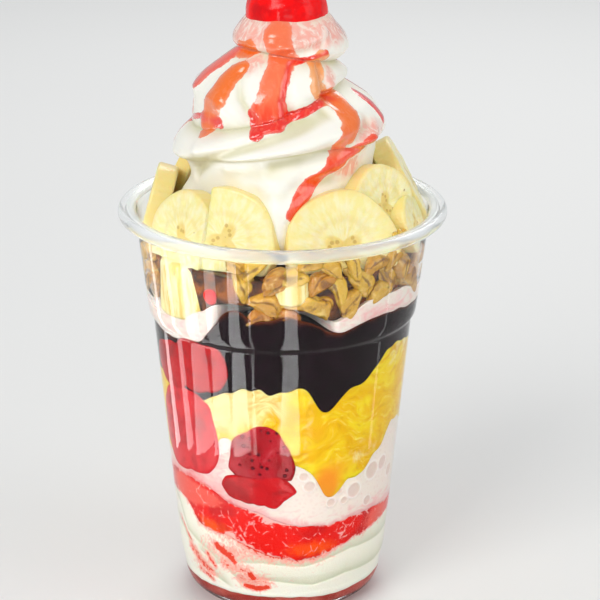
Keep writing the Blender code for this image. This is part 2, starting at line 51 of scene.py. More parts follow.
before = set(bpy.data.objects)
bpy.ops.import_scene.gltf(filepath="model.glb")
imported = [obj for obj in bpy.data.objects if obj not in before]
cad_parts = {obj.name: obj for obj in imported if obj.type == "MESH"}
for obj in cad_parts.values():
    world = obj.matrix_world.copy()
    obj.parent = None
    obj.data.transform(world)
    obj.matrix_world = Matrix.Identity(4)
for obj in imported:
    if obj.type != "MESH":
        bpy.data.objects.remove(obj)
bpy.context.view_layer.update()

MM = 0.001
BODY = "root"

# Cup, with its outside measured from the frame
CUP_BOX = [[value / MM for value in corner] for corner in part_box("cup")]
CUP_HEIGHT = CUP_BOX[1][2]
RIM_RADIUS = CUP_BOX[1][0]
WALL = 0.8
FLOOR_TOP = 2.2
RECESS_HEIGHT = 1.4
RECESS_RADIUS = 21.2
FOOT_INNER_RADIUS = 22.4
FOOT_RADIUS = 24.6
CORNER_HEIGHT = 8.0
CORNER_WIDTH = 5.8
INNER_CORNER_RADIUS = 24.4
INNER_CORNER_WIDTH = 5.2
INNER_CORNER_HEIGHT = 6.0
NECK_HEIGHT = CUP_HEIGHT - 3.0
NECK_RADIUS = 43.8
RIM_FLARE = 3.0
BEAD_RADIUS = 1.8
BEAD_LIP = 0.8
WALL_LINE = ((14.0, 31.7), (88.0, 38.95), (92.0, 40.5), (NECK_HEIGHT, NECK_RADIUS))
# The outside of the stacking step, from its top down
STEP_OUTSIDE = (
    (92.6, 40.6), (90.3, 40.3), (89.6, 40.0), (88.9, 39.35), (88.3, 39.05), (87.6, 38.92),
)

# How far the contents reach into the wall, so that no air shows between them
BITE = 0.15
FRUIT_BITE = 0.62
SEAM = 0.02

HEAP_TOP = 112.0
SWIRL_BASE = HEAP_TOP + 0.3
SWIRL_TOP = 180.5
SWIRL_DROOP = 1.2
SWIRL_FOLD_DEPTH = 4.4
SWIRL_BASE_RADIUS = 26.4
CREASE_LINE = (
    (135.0, 29.0), (139.0, 29.0), (142.0, 27.5), (147.0, 26.5), (154.0, 22.4), (160.0, 18.8),
    (164.0, 16.4), (168.0, 14.8), (172.0, 13.0), (177.0, 11.0), (SWIRL_TOP, 10.6),
)
SWIRL_MIDDLE = (
    (141.0, 0.0), (151.0, 0.8), (155.0, 0.0), (160.0, -2.8), (164.0, -2.2), (168.0, 0.2),
    (171.0, 1.8), (SWIRL_TOP, 1.8),
)
# Where the base swells out between the slices: azimuth, half width, height, tallness, depth
BASE_SWELLS = (
    (-3.0, 11.0, 126.0, 11.0, 6.5), (-98.0, 24.0, 116.0, 12.0, 5.4),
    (93.0, 21.0, 116.0, 12.0, 4.4), (180.0, 24.0, 116.0, 12.0, 2.4),
)

# Colours of the sauces on the swirl
SALMON = (252, 116, 66)
ORANGE = (250, 114, 8)
TAN = (252, 168, 96)
SCARLET = (242, 24, 0)
VERMILION = (252, 64, 0)
# Sauce that runs down the swirl: colour, half width, relief, then (azimuth, height) along it
SAUCE_RUNS = (
    (SALMON, 4.6, 0.8, (-13, 176), (-4, 169), (-1, 163), (-4, 159)),
    (VERMILION, 4.7, 0.8, (-5, 157.6), (-9, 155.2)),
    (SCARLET, 1.6, 0.4, (4, 168), (7, 163), (5, 158), (0, 154)),
    (SCARLET, 2.4, 0.7, (-18, 154.6), (-17, 150.4)),
    (SCARLET, 2.6, 0.6, (-15, 152.6), (-4, 153.2)),
    (SCARLET, 1.3, 0.4, (-5, 153.2), (12, 155.2), (26, 156.8), (37, 158)),
    (SCARLET, 1.1, 0.3, (4, 168.6), (20, 169.6), (38, 171)),
    (TAN, 3.4, 0.8, (34, 169), (35, 162), (39, 159.6)),
    (ORANGE, 4.0, 0.8, (-42, 165), (-41, 160), (-50, 155), (-58, 150)),
    (SCARLET, 2.6, 0.6, (-60, 151.4), (-52, 152.0), (-45, 152.0)),
    (SCARLET, 1.0, 0.3, (-62, 152.2), (-80, 150.0), (-98, 147)),
    (ORANGE, 3.0, 0.3, (-58, 171), (-44, 171.6)),
    (ORANGE, 4.0, 0.8, (50, 158), (48, 155), (44, 151.6), (40, 149.6)),
    (SCARLET, 1.8, 0.5, (42, 158.6), (49, 157.8)),
    (SALMON, 2.8, 0.8, (39, 149.6), (33, 146.6), (34, 144)),
    (VERMILION, 2.3, 0.7, (58, 145.8), (48, 144.2), (38, 143), (30, 141.4)),
    (VERMILION, 2.7, 0.8, (36, 141.6), (26, 139), (17, 135.4), (9, 131.4), (5, 128)),
    (VERMILION, 4.6, 0.8, (-74, 168), (-80, 162)),
    (SCARLET, 2.4, 0.5, (82, 155.5), (80, 150)),
    (SALMON, 5.0, 0.8, (118, 172), (112, 160), (118, 148)),
    (SCARLET, 2.0, 0.5, (106, 158), (118, 149), (128, 147)),
    (ORANGE, 4.5, 0.8, (162, 168), (170, 156), (164, 145)),
    (SCARLET, 5.0, 0.8, (-148, 173), (-140, 160), (-150, 150)),
    (SALMON, 3.5, 0.8, (-112, 158), (-104, 146), (-108, 138)),
)
# Thin blush of sauce over the top of the swirl: azimuth, height, width in degrees, tallness
BLUSHES = (
    (-10, 176, 200, 5.0, 1.0), (60, 147, 20, 5.0, 0.9), (44, 139, 16, 4.5, 0.9),
    (-32, 168, 20, 4.0, 0.8), (50, 163, 9, 7.0, 0.8), (150, 168, 60, 6.0, 0.6),
    (-120, 160, 24, 7.0, 0.5),
)
# Soft grooves and swells in the folds: width, depth, then (azimuth, height) along each
FOLD_LINES = (
    (2.2, -2.2, (-70, 135), (-46, 141.8), (-26, 145.8), (-11, 148.4), (4, 151), (30, 154.6)),
    (3.0, 1.6, (-52, 144), (-34, 148), (-16, 151), (-4, 153)),
    (2.6, 1.2, (-34, 140), (-14, 144), (8, 147.4), (30, 150.6)),
    (2.0, -1.8, (-36, 165), (-24, 158.5), (-21, 154.6)),
    (4.6, 1.8, (-40, 161), (-34, 155)),
    (1.5, -1.4, (7, 168), (10, 160), (5, 154.4)),
    (5.0, 1.6, (21, 165), (22, 158)),
    (1.6, -1.5, (37, 167), (42, 160), (44, 157)),
    (2.2, -1.6, (60, 150), (40, 147), (18, 144), (-6, 141.4)),
    (3.2, 1.4, (62, 146), (42, 143.6), (22, 140.6)),
    (2.4, -1.4, (30, 136), (6, 134.4), (-14, 133.4)),
    (4.2, 1.5, (12, 130), (20, 126)),
    (3.6, 1.3, (-22, 134), (-10, 136), (2, 137)),
    (2.4, -1.4, (120, 158), (150, 162), (190, 166)),
    (2.6, -1.6, (100, 146), (140, 150), (180, 148), (220, 144)),
    (3.2, 1.2, (200, 158), (230, 154), (250, 150)),
    (1.6, 1.1, (-8, 173.5), (12, 174.2), (30, 175.5), (44, 176.5)),
    (1.2, -1.0, (-6, 171.4), (14, 172), (34, 173.4)),
)

# The strawberries: colour, seeds, depth, and the outline that each shows against the wall
STRAWBERRIES = {
    "strawberry_left": ((222, 40, 48), 0.0, 17.0, (
        (-74, 66), (-68, 70), (-51, 72.4), (-43, 72), (-36, 69.4), (-33, 63.1), (-31.5, 57),
        (-33, 50), (-39, 45.4), (-53, 44.4), (-70, 43.6), (-79, 50),
    )),
    "strawberry_upper": ((196, 6, 16), 0.0, 16.0, (
        (-77, 82.1), (-66, 84.6), (-55, 85.8), (-37, 88.7), (-28, 88.4), (-25, 85.3), (-24, 79.5),
        (-27, 75.2), (-37, 72.9), (-50, 72.6), (-71, 70.6), (-79, 75),
    )),
    "strawberry_centre": ((186, 24, 38), 1.0, 17.0, (
        (-7, 65.2), (-2, 63.4), (2, 59.1), (5, 55.7), (7, 51), (5, 46.4), (-2, 47.4), (-14, 46.6),
        (-24, 47), (-28, 49.5), (-26.5, 54.2), (-25, 59.3), (-17, 62.8), (-11, 65.2),
    )),
    "strawberry_low": ((206, 12, 22), 0.12, 15.0, (
        (-33, 43.6), (-30, 46.8), (-22, 47.8), (-14, 47.3), (-7, 48.3), (-2, 49.0), (4, 46.4),
        (8, 42.9), (4, 41), (1, 39.7), (-3, 37.2), (-9, 38.2), (-15, 38.5), (-22, 39), (-29, 40),
    )),
    "strawberry_back": ((205, 26, 36), 0.8, 17.0, (
        (131, 64), (142, 70), (152, 71), (163, 67), (170, 60), (168, 52), (158, 46), (148, 45),
        (137, 49), (130, 56),
    )),
}
BERRY_EDGE = 1.3
BERRY_DEGREE = 0.64
BANANA_CHUNKS = {
    "banana_chunk_left": (-52, 30.2, 103.4, (11.5, 16.8)),
    "banana_chunk_front": (4, 36.8, 107.8, (5.4, 8.0)),
}
# The slices: azimuth, radius, height, slice radius, facing, lean
BANANA_SLICES = {
    "banana_slice_front_right": (31.3, 32.2, 116.9, 16.9, 15, 12),
    "banana_slice_front_left": (-29.0, 32.0, 119.7, 15.2, -20, 12),
    "banana_slice_left": (-52.0, 34.2, 117.0, 14.6, -50, 14),
    "banana_slice_far_left": (-100.0, 38.0, 118.4, 13.6, -92, 15),
    "banana_slice_right_tall": (60.6, 31.6, 126.0, 12.0, 42, 12),
    "banana_slice_right_low": (72.3, 37.8, 119.0, 8.6, 72, 16),
    "banana_slice_far_right": (103.0, 36.6, 125.6, 15.0, 92, 29),
    "banana_slice_back_right": (135.0, 34.0, 122.0, 13.6, 135, 14),
    "banana_slice_back": (179.0, 33.5, 122.0, 14.0, 179, 12),
    "banana_slice_back_left": (222.0, 34.0, 122.0, 13.8, 222, 15),
}
SEAM_AZIMUTH = -37.5
CHERRY_PLACE = (1.2, 0.0, 179.8)
CHERRY_DIMPLE = (1.6, 4.0)
CHERRY_PIECE = (-32, 38.4, 104.0)
CHERRY_PIECE_SIZE = 5.2
CHERRY_PIECE_SEED = 10

# Walnuts that show in front: azimuth, height, length, width, tilt, tone
FRONT_NUTS = (
    (-12.6, 114.6, 9, 5.5, 50, 0.0), (-16.4, 109.0, 9.5, 6.5, -65, 0.1),
    (-2.8, 110.8, 11, 7.0, 30, 0.75), (-6.6, 104.6, 11, 7.5, -20, 0.5),
    (8.7, 104.6, 13.5, 7.5, -12, 0.2), (23.4, 108.6, 14, 6.6, -58, 0.0),
    (28.8, 102.8, 11, 7.0, 62, 0.3), (34.6, 109.2, 12, 6.6, -42, 0.15),
    (49.4, 107.4, 12, 6.6, -70, 0.35), (50.4, 113.8, 10, 6.0, 20, 0.45),
    (16.6, 103.0, 10, 6.0, -50, 0.35), (20.1, 115.0, 10, 5.0, -30, 0.2),
    (29.4, 114.9, 10, 4.8, -62, 0.05), (40.3, 113.6, 9, 5.2, 25, 0.5),
    (42.8, 104.4, 9.5, 6.4, 35, 0.2), (58.0, 109.4, 10, 6.6, 60, 0.5),
    (15.0, 110.6, 10, 6.0, 40, 0.7), (-9.6, 99.6, 9, 6.2, 12, 0.85),
    (1.5, 100.2, 8.5, 5.6, -8, 0.9), (-19.5, 115.6, 7, 4.5, 10, 0.3),
    (10.2, 116.4, 8, 4.4, 8, 0.3), (4.8, 112.4, 8.5, 6.4, 15, 0.0),
)
# Crumbs of nut between the rim and the slices: azimuth, height, size
CRUMBS = (
    (50.6, 120.6, 2.3), (53.2, 121.0, 2.0), (52.0, 119.4, 2.2), (54.8, 119.8, 1.8),
    (49.2, 119.4, 1.6), (56.4, 120.8, 1.5),
)
NUT_ROWS = ((101.0, 18), (105.6, 20), (110.2, 20))
NUT_FREE = (-6, 69)
NUT_SEED = 4

# Camera, as the photo was taken
CAMERA_PLACE = (0.0, -0.700, 0.3404)
CAMERA_PITCH = 19.594
CAMERA_LENS = 147.7
CAMERA_SHIFT = 0.0292


def turn_between(azimuth, other):
    return (azimuth - other + 180.0) % 360.0 - 180.0


def polar(azimuth, radius, height):
    """Points as an array of (x, y, z) rows, in millimetres."""
    angle = np.radians(azimuth)
    parts = np.broadcast_arrays(radius * np.sin(angle), -radius * np.cos(angle), height)
    return np.stack(parts, axis=-1)


def line_value(line, position):
    places, values = zip(*line)
    return np.interp(position, places, values)


def arc(centre, width, height, start, end, steps):
    """Points (radius, height) along an elliptical arc, its angles in degrees."""
    angles = np.radians(np.linspace(start, end, steps + 1))
    across = centre[0] + width * np.cos(angles)
    up = centre[1] + height * np.sin(angles)
    return list(zip(across.tolist(), up.tolist()))


def smooth_step(value, low, high):
    share = np.clip((value - low) / (high - low), 0.0, 1.0)
    return share * share * (3.0 - 2.0 * share)


def ripple(azimuth, seed, size, low=7, high=46):
    """An uneven edge round the cup: waves of random phase, up to about this many mm."""
    draw = np.random.default_rng(seed)
    total = np.zeros_like(np.asarray(azimuth, float))
    for count in range(low, high):
        wave = np.cos(np.radians(azimuth) * count + draw.uniform(0, 2 * math.pi))
        total = total + wave * draw.uniform(0.3, 1.0) / math.sqrt(count)
    return size * total / 1.6


def follow(points, azimuth, blur=3):
    """The height at an azimuth along (azimuth, height) points that close round the cup."""
    ordered = sorted(points)
    whole = np.arange(-180.0, 180.0)
    line = np.interp(whole, *zip(*ordered), period=360)
    for _ in range(blur):
        line = 0.25 * np.roll(line, 1) + 0.5 * line + 0.25 * np.roll(line, -1)
    return np.interp(azimuth, whole, line, period=360)


def surface(level, points, edge_seed, edge_size):
    """A layer's top: level on the axis, and following the points at the wall."""

    def height(azimuth, share):
        wall = follow(points, azimuth) + ripple(azimuth, edge_seed, edge_size)
        return level + (wall - level) * share**3

    return height


BASE_SYRUP_TOP = surface(6.5, ((-180, 6.5), (10, 6.5), (30, 5.6), (50, 6.4)), 11, 0.25)
LOWER_CREAM_TOP = surface(24.5, (
    (-130, 25), (-110, 28), (-85, 33), (-67, 34), (-58, 31.4), (-51, 27.8), (-41, 26.5), (-30, 26),
    (-23, 25.2), (-15, 22.7), (-4, 20.8), (7, 19.6), (18, 20), (26, 21.2), (35, 22.4), (45, 24),
    (71, 26), (90, 25.5), (130, 23), (180, 25),
), 12, 0.5)
GLAZE_TOP = surface(34.0, (
    (-150, 34), (-110, 39), (-70, 41.6), (-54, 42), (-41, 41.2), (-32, 38.6), (-24, 36.9),
    (-16, 36.5), (-10, 35.2), (-4, 33.2), (3, 31.5), (14, 31.1), (25, 30.7), (37, 31.6), (52, 31.6),
    (72, 30.5), (95, 31), (130, 34), (180, 35),
), 13, 0.4)
PINK_CREAM_TOP = surface(47.0, (
    (-150, 46), (-110, 49), (-80, 47), (-60, 46), (-45, 46), (-37, 49), (-32, 58), (-27, 59.5),
    (-20, 57), (-12, 56), (0, 56), (6, 52), (13, 49), (18, 44.5), (22, 41), (26, 40.2), (30, 42.4),
    (34, 45), (44, 45.6), (48, 48.2), (57, 52.6), (66, 58.2), (76, 58), (100, 50), (130, 47),
    (180, 48),
), 14, 0.7)
PINEAPPLE_TOP = surface(77.0, (
    (-150, 76), (-90, 74), (-60, 71), (-45, 70), (-39, 70.4), (-24, 74.7), (-11, 77.1), (-7, 74.8),
    (-2, 76.4), (6, 77.3), (11, 75.8), (14.5, 71.2), (16.5, 69.2), (23.5, 69.4), (27, 72),
    (31, 74.8),
    (42, 76.8), (47, 80), (54, 84), (64, 84.6), (76, 83), (90, 78), (130, 76), (180, 77),
), 15, 1.0)
FUDGE_TOP = surface(94.0, (
    (-150, 93), (-100, 91), (-70, 87.6), (-59, 87.2), (-47, 88), (-36, 90), (-30, 95), (-24, 101),
    (-18, 102.5), (-12, 98.5), (-5, 99.5), (3, 100.5), (12, 98.5), (20, 94.6), (26, 94), (33, 95.8),
    (41, 97), (53, 96.8), (70, 95.5), (100, 94), (180, 94),
), 16, 0.3)
UPPER_CREAM_TOP = surface(97.0, (
    (-150, 98), (-100, 96.4), (-74, 95), (-62, 94.2), (-50, 95), (-42, 97.4), (-34, 100),
    (-28, 103.5),
    (-18, 104), (12, 102), (22, 97), (28, 99), (33, 101.6), (38, 103), (58, 103.2), (75, 100),
    (100, 98), (140, 98), (180, 101),
), 17, 0.3)


def at_front(azimuth):
    """1 where nuts and fudge show before the upper ice cream, 0 elsewhere."""
    return np.exp(-((turn_between(azimuth, -4) / 23.0) ** 8))


def upper_cream_bottom(azimuth, share):
    return FUDGE_TOP(azimuth, share) + 1.2 * at_front(azimuth)


def upper_cream_reach(azimuth):
    return 1.0 - 0.32 * at_front(azimuth)


def whole_reach(azimuth):
    return np.ones_like(azimuth)


def floor_height(azimuth, share):
    return np.full(np.broadcast(azimuth, share).shape, FLOOR_TOP - BITE)


def inner_line():
    """The cup's inner side from the floor to the neck, as (radius, height) points."""
    corner = arc(
        (INNER_CORNER_RADIUS, FLOOR_TOP + INNER_CORNER_HEIGHT),
        INNER_CORNER_WIDTH, INNER_CORNER_HEIGHT, -90, 0, 10,
    )
    return corner + [(radius - WALL, height) for height, radius in WALL_LINE]


def wall_radius(height):
    """The radius of the cup's inner side at this height."""
    line = [(level, radius) for radius, level in inner_line()]
    return line_value(line, height)


def deselect():
    if bpy.context.object and bpy.context.object.mode != "OBJECT":
        bpy.ops.object.mode_set(mode="OBJECT")
    bpy.ops.object.select_all(action="DESELECT")


def rename(piece, name):
    piece.name = name
    piece.data.name = name
    return piece


def select_only(piece):
    deselect()
    piece.select_set(True)
    bpy.context.view_layer.objects.active = piece


def corners_of(piece):
    flat = np.empty(len(piece.data.vertices) * 3)
    piece.data.vertices.foreach_get("co", flat)
    return flat.reshape(-1, 3)


def set_corners(piece, corners):
    piece.data.vertices.foreach_set("co", np.ascontiguousarray(corners, float).ravel())
    piece.data.update()


def paint(piece, name, values):
    """Stores one number or one colour for each vertex, for the piece's material to read."""
    values = np.asarray(values, float)
    if values.ndim == 1:
        layer = piece.data.attributes.new(name, "FLOAT", "POINT")
        layer.data.foreach_set("value", values)
    elif values.shape[1] == 3:
        layer = piece.data.attributes.new(name, "FLOAT_VECTOR", "POINT")
        layer.data.foreach_set("vector", values.ravel())
    else:
        layer = piece.data.attributes.new(name, "FLOAT_COLOR", "POINT")
        layer.data.foreach_set("color", values.ravel())


def shaped_sphere(name, steps, rings, place):
    """A sphere whose vertices go where place(azimuth, ring) says; ring 0 is on top."""
    deselect()
    bpy.ops.mesh.primitive_uv_sphere_add(segments=steps, ring_count=rings, radius=1.0)
    piece = rename(bpy.context.object, name)
    start = corners_of(piece)
    azimuth = np.degrees(np.arctan2(start[:, 0], -start[:, 1]))
    ring = np.rint(np.arccos(np.clip(start[:, 2], -1, 1)) * rings / math.pi).astype(int)
    azimuth[(ring == 0) | (ring == rings)] = 0.0
    set_corners(piece, place(azimuth, ring) * MM)
    select_only(piece)
    bpy.ops.object.shade_smooth()
    return piece


def face_outwards(piece):
    select_only(piece)
    bpy.ops.object.mode_set(mode="EDIT")
    bpy.ops.mesh.select_all(action="SELECT")
    bpy.ops.mesh.normals_make_consistent(inside=False)
    bpy.ops.object.mode_set(mode="OBJECT")


def join(pieces, name):
    deselect()
    for piece in pieces:
        piece.select_set(True)
    bpy.context.view_layer.objects.active = pieces[0]
    bpy.ops.object.join()
    return rename(bpy.context.object, name)


def finish_piece(piece, look, node, body=BODY):
    """Gives a piece its finish and lets it ride in place of its CAD node."""
    piece.data.materials.clear()
    piece.data.materials.append(look)
    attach(piece, body)
    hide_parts(node)
    return piece


def waves(points, size, seed, count=14):
    """Fast smooth noise from about -1 to 1, as a sum of plane waves of this wavelength."""
    draw = np.random.default_rng(seed)
    total = np.zeros(len(points))
    for _ in range(count):
        direction = draw.normal(size=3)
        direction /= np.linalg.norm(direction)
        length = size * draw.uniform(0.7, 1.6)
        phase = draw.uniform(0, 2 * math.pi)
        total += np.cos(points @ direction * (2 * math.pi / length) + phase)
    return total / math.sqrt(count)


# Materials


def srgb(red, green, blue):
    """A colour given as it looks on a screen, from 0 to 255, as the shaders' linear colour."""
    parts = []
    for value in (red, green, blue):
        share = value / 255.0
        parts.append(share / 12.92 if share <= 0.04045 else ((share + 0.055) / 1.055) ** 2.4)
    return (*parts, 1.0)


def add_node(tree, kind, inputs=None, **settings):
    made = tree.nodes.new(kind)
    for name, value in settings.items():
        setattr(made, name, value)
    for name, value in (inputs or {}).items():
        if isinstance(value, bpy.types.NodeSocket):
            tree.links.new(value, made.inputs[name])
        else:
            made.inputs[name].default_value = value
    return made


def shader_of(look):
    return look.node_tree.nodes["Principled BSDF"]


def new_look(name, colour, roughness, behind_wall=False, soft=None, **values):
    """A material with its Principled shader, ready for its pattern.

    What touches the wall has no air before it, so it hardly shines by itself. What is soft lets
    light into it, with this weight and this deep, in metres.
    """
    look = bpy.data.materials.new(name)
    look.use_nodes = True
    look.diffuse_color = colour
    values.update(Base_Color=colour, Roughness=roughness)
    if soft:
        values.update(Subsurface_Weight=soft[0], Subsurface_Scale=soft[1])
    if behind_wall:
        values.update(Specular_IOR_Level=0.08, Coat_Weight=0.0)
    for socket, value in values.items():
        shader_of(look).inputs[socket.replace("_", " ")].default_value = value
    return look, look.node_tree


def place_of(tree, stretch=(1.0, 1.0, 1.0)):
    coordinates = add_node(tree, "ShaderNodeTexCoord")
    mapping = add_node(
        tree, "ShaderNodeMapping",
        {"Vector": coordinates.outputs["Object"], "Scale": stretch},
    )
    return mapping.outputs["Vector"]


def painted(tree, name, output="Fac"):
    return add_node(tree, "ShaderNodeAttribute", attribute_name=name).outputs[output]


def speckle(tree, size, detail=3.0, distortion=0.0, vector=None, roughness=0.5):
    """Noise from 0 to 1 with features of this many millimetres."""
    made = add_node(
        tree, "ShaderNodeTexNoise",
        {"Vector": vector or place_of(tree), "Scale": 1.0 / (size * MM), "Detail": detail,
         "Distortion": distortion, "Roughness": roughness},
    )
    return made.outputs["Fac"]


def between(tree, value, low, high, to_low=0.0, to_high=1.0):
    made = add_node(
        tree, "ShaderNodeMapRange",
        {"Value": value, "From Min": low, "From Max": high, "To Min": to_low, "To Max": to_high},
        interpolation_type="SMOOTHSTEP",
    )
    return made.outputs["Result"]


def cells(tree, size, vector, randomness=1.0, feature="DISTANCE_TO_EDGE"):
    """Distances in a pattern of cells of this many millimetres."""
    made = add_node(
        tree, "ShaderNodeTexVoronoi",
        {"Vector": vector, "Scale": 1 / (size * MM), "Randomness": randomness}, feature=feature,
    )
    return made.outputs["Distance"]


def calculate(tree, operation, first, second=0.5):
    made = tree.nodes.new("ShaderNodeMath")
    made.operation = operation
    for socket, value in zip(made.inputs, (first, second)):
        if isinstance(value, bpy.types.NodeSocket):
            tree.links.new(value, socket)
        else:
            socket.default_value = value
    return made.outputs["Value"]


def mixed(tree, factor, first, second, blend_type="MIX"):
    made = tree.nodes.new("ShaderNodeMix")
    made.data_type = "RGBA"
    made.blend_type = blend_type
    sockets = (made.inputs[0], made.inputs[6], made.inputs[7])
    for socket, value in zip(sockets, (factor, first, second)):
        if isinstance(value, bpy.types.NodeSocket):
            tree.links.new(value, socket)
        else:
            socket.default_value = value
    return made.outputs[2]


def swing(tree, noise, size):
    """A noise from 0 to 1, moved to swing round 0 with this strength."""
    return calculate(tree, "MULTIPLY", calculate(tree, "SUBTRACT", noise, 0.5), size)


def uneven(tree, value, noise, size):
    """A value with a noise that swings round it."""
    return calculate(tree, "ADD", value, swing(tree, noise, size))


def bumped(look, height, depth):
    """Bumps of this many millimetres, from a height that runs from 0 to 1."""
    tree = look.node_tree
    bump = add_node(
        tree, "ShaderNodeBump", {"Height": height, "Distance": depth * MM, "Strength": 1.0}
    )
    tree.links.new(bump.outputs["Normal"], shader_of(look).inputs["Normal"])


def covered(look, colour, height, depth):
    """Gives a material its colour and its bumps."""
    look.node_tree.links.new(colour, shader_of(look).inputs["Base Color"])
    bumped(look, height, depth)
    return look


def grain_group():
    """Shared fine grain of the soft foods: blotches, pores and a height to bump with."""
    found = bpy.data.node_groups.get("soft_grain")
    if found:
        return found
    group = bpy.data.node_groups.new("soft_grain", "ShaderNodeTree")
    for name, value in (("Blotch Size", 6.0), ("Grain Size", 0.8)):
        socket = group.interface.new_socket(name, in_out="INPUT", socket_type="NodeSocketFloat")
        socket.default_value = value
    for name in ("Blotch", "Grain", "Height"):
        group.interface.new_socket(name, in_out="OUTPUT", socket_type="NodeSocketFloat")
    entry = group.nodes.new("NodeGroupInput")
    leave = group.nodes.new("NodeGroupOutput")
    place = place_of(group)
    made = []
    for name, detail in (("Blotch Size", 3.0), ("Grain Size", 4.0)):
        scale = calculate(group, "DIVIDE", 1.0 / MM, entry.outputs[name])
        noise_node = add_node(
            group, "ShaderNodeTexNoise", {"Vector": place, "Scale": scale, "Detail": detail}
        )
        made.append(noise_node.outputs["Fac"])
    blotch, grain = made
    fine = calculate(group, "MULTIPLY", grain, 0.3)
    height = calculate(group, "ADD", calculate(group, "MULTIPLY", blotch, 0.7), fine)
    for name, value in (("Blotch", blotch), ("Grain", grain), ("Height", height)):
        group.links.new(value, leave.inputs[name])
    return group


def grain(tree, blotch_size, grain_size):
    made = tree.nodes.new("ShaderNodeGroup")
    made.node_tree = grain_group()
    made.inputs["Blotch Size"].default_value = blotch_size
    made.inputs["Grain Size"].default_value = grain_size
    return made


def let_light_through(look):
    """Lets light pass the clear wall straight on, so that what is inside is lit."""
    tree = look.node_tree
    output = tree.nodes["Material Output"]
    clear = add_node(tree, "ShaderNodeBsdfTransparent", {"Color": (0.97, 0.975, 0.98, 1.0)})
    path = tree.nodes.new("ShaderNodeLightPath")
    mix = tree.nodes.new("ShaderNodeMixShader")
    tree.links.new(path.outputs["Is Shadow Ray"], mix.inputs["Fac"])
    tree.links.new(shader_of(look).outputs["BSDF"], mix.inputs[1])
    tree.links.new(clear.outputs["BSDF"], mix.inputs[2])
    tree.links.new(mix.outputs["Shader"], output.inputs["Surface"])
    return look


def clear_plastic_look():
    look, tree = new_look(
        "clear_plastic", (0.97, 0.98, 0.985, 1.0), 0.02, Transmission_Weight=1.0, IOR=1.22
    )
    bumped(look, grain(tree, 9.0, 2.0).outputs["Height"], 0.03)
    return let_light_through(look)


def frosted_rim_look():
    """The rolled rim, where the plastic is folded and catches more light."""
    look, tree = new_look(
        "clear_plastic_rim", (0.93, 0.95, 0.95, 1.0), 0.16, Transmission_Weight=0.72, IOR=1.3
    )
    bumped(look, grain(tree, 7.0, 1.2).outputs["Height"], 0.06)
    return let_light_through(look)


def swirl_look(settings):
    """Soft serve: cream with painted shade in the creases of its folds, and glossy sauce where it
    is painted on.
    """
    look, tree = new_look(
        "soft_serve_with_sauce", settings.cream, 0.42, soft=(0.1, 0.002), Coat_Roughness=0.04,
        Subsurface_Radius=(1.0, 0.7, 0.5),
    )
    grained = grain(tree, 7.0, 0.5)
    # Painted shade: the fold mark darkens the cream towards the yellow-green shade colour in the
    # creases between the folds.
    fold = between(tree, painted(tree, "fold"), 0.0, 1.0)
    cream = mixed(tree, fold, settings.cream, settings.cream_fold_painted_shade)
    cream = mixed(tree, between(tree, grained.outputs["Blotch"], 0.35, 0.75, 0, 0.25),
                  cream, srgb(255, 246, 226))
    ragged = speckle(tree, 1.6, 4.0, 0.6)
    streaks = speckle(tree, 2.2, 3.0, 1.2, place_of(tree, (1.0, 1.0, 0.3)))
    wander = speckle(tree, 5.0, 2.0, 0.3)
    ragged = uneven(tree, swing(tree, ragged, 0.22), wander, 0.7)
    blush = calculate(tree, "ADD", painted(tree, "blush"), ragged)
    blush = calculate(tree, "MULTIPLY", between(tree, blush, 0.25, 0.85),
                      between(tree, streaks, 0.3, 0.62, 0.35, 1.0))
    tinted = mixed(tree, blush, cream, srgb(253, 178, 160))
    sauce = calculate(tree, "ADD", painted(tree, "sauce"), ragged)
    amount = between(tree, sauce, 0.1, 0.2)
    thick = between(tree, sauce, 0.1, 0.5, 0.85, 1.0)
    deep = mixed(tree, between(tree, streaks, 0.45, 0.75, 0.0, 0.22),
                 painted(tree, "sauce_colour", "Color"), srgb(255, 160, 110))
    colour = mixed(tree, calculate(tree, "MULTIPLY", amount, thick), tinted, deep)
    wet = calculate(tree, "MAXIMUM", amount, calculate(tree, "MULTIPLY", blush, 0.8))
    shader = shader_of(look)
    tree.links.new(between(tree, wet, 0.0, 1.0, 0.42, 0.10), shader.inputs["Roughness"])
    tree.links.new(wet, shader.inputs["Coat Weight"])
    height = calculate(tree, "ADD", grained.outputs["Height"],
                       calculate(tree, "MULTIPLY", amount, 0.4))
    return covered(look, colour, height, 0.22)


def lower_cream_look(settings):
    """White soft serve seen through the wall, with painted green-grey shade in its creases and red
    bits of sauce.
    """
    look, tree = new_look("lower_soft_serve", settings.cream, 0.4, True, soft=(0.2, 0.003))
    grained = grain(tree, 5.0, 0.6)
    # Painted shade: the cream darkens to green-grey along the creases.
    cream = mixed(tree, painted(tree, "fold"), srgb(252, 248, 232), srgb(196, 200, 168))
    ragged = speckle(tree, 1.5, 5.0, 1.4)
    stain = uneven(tree, painted(tree, "stain"), ragged, 1.2)
    pink = mixed(tree, between(tree, stain, 0.15, 0.6), cream, srgb(250, 176, 160))
    red = mixed(tree, between(tree, stain, 0.62, 0.8), pink, srgb(232, 66, 40))
    return covered(look, red, grained.outputs["Height"], 0.2)


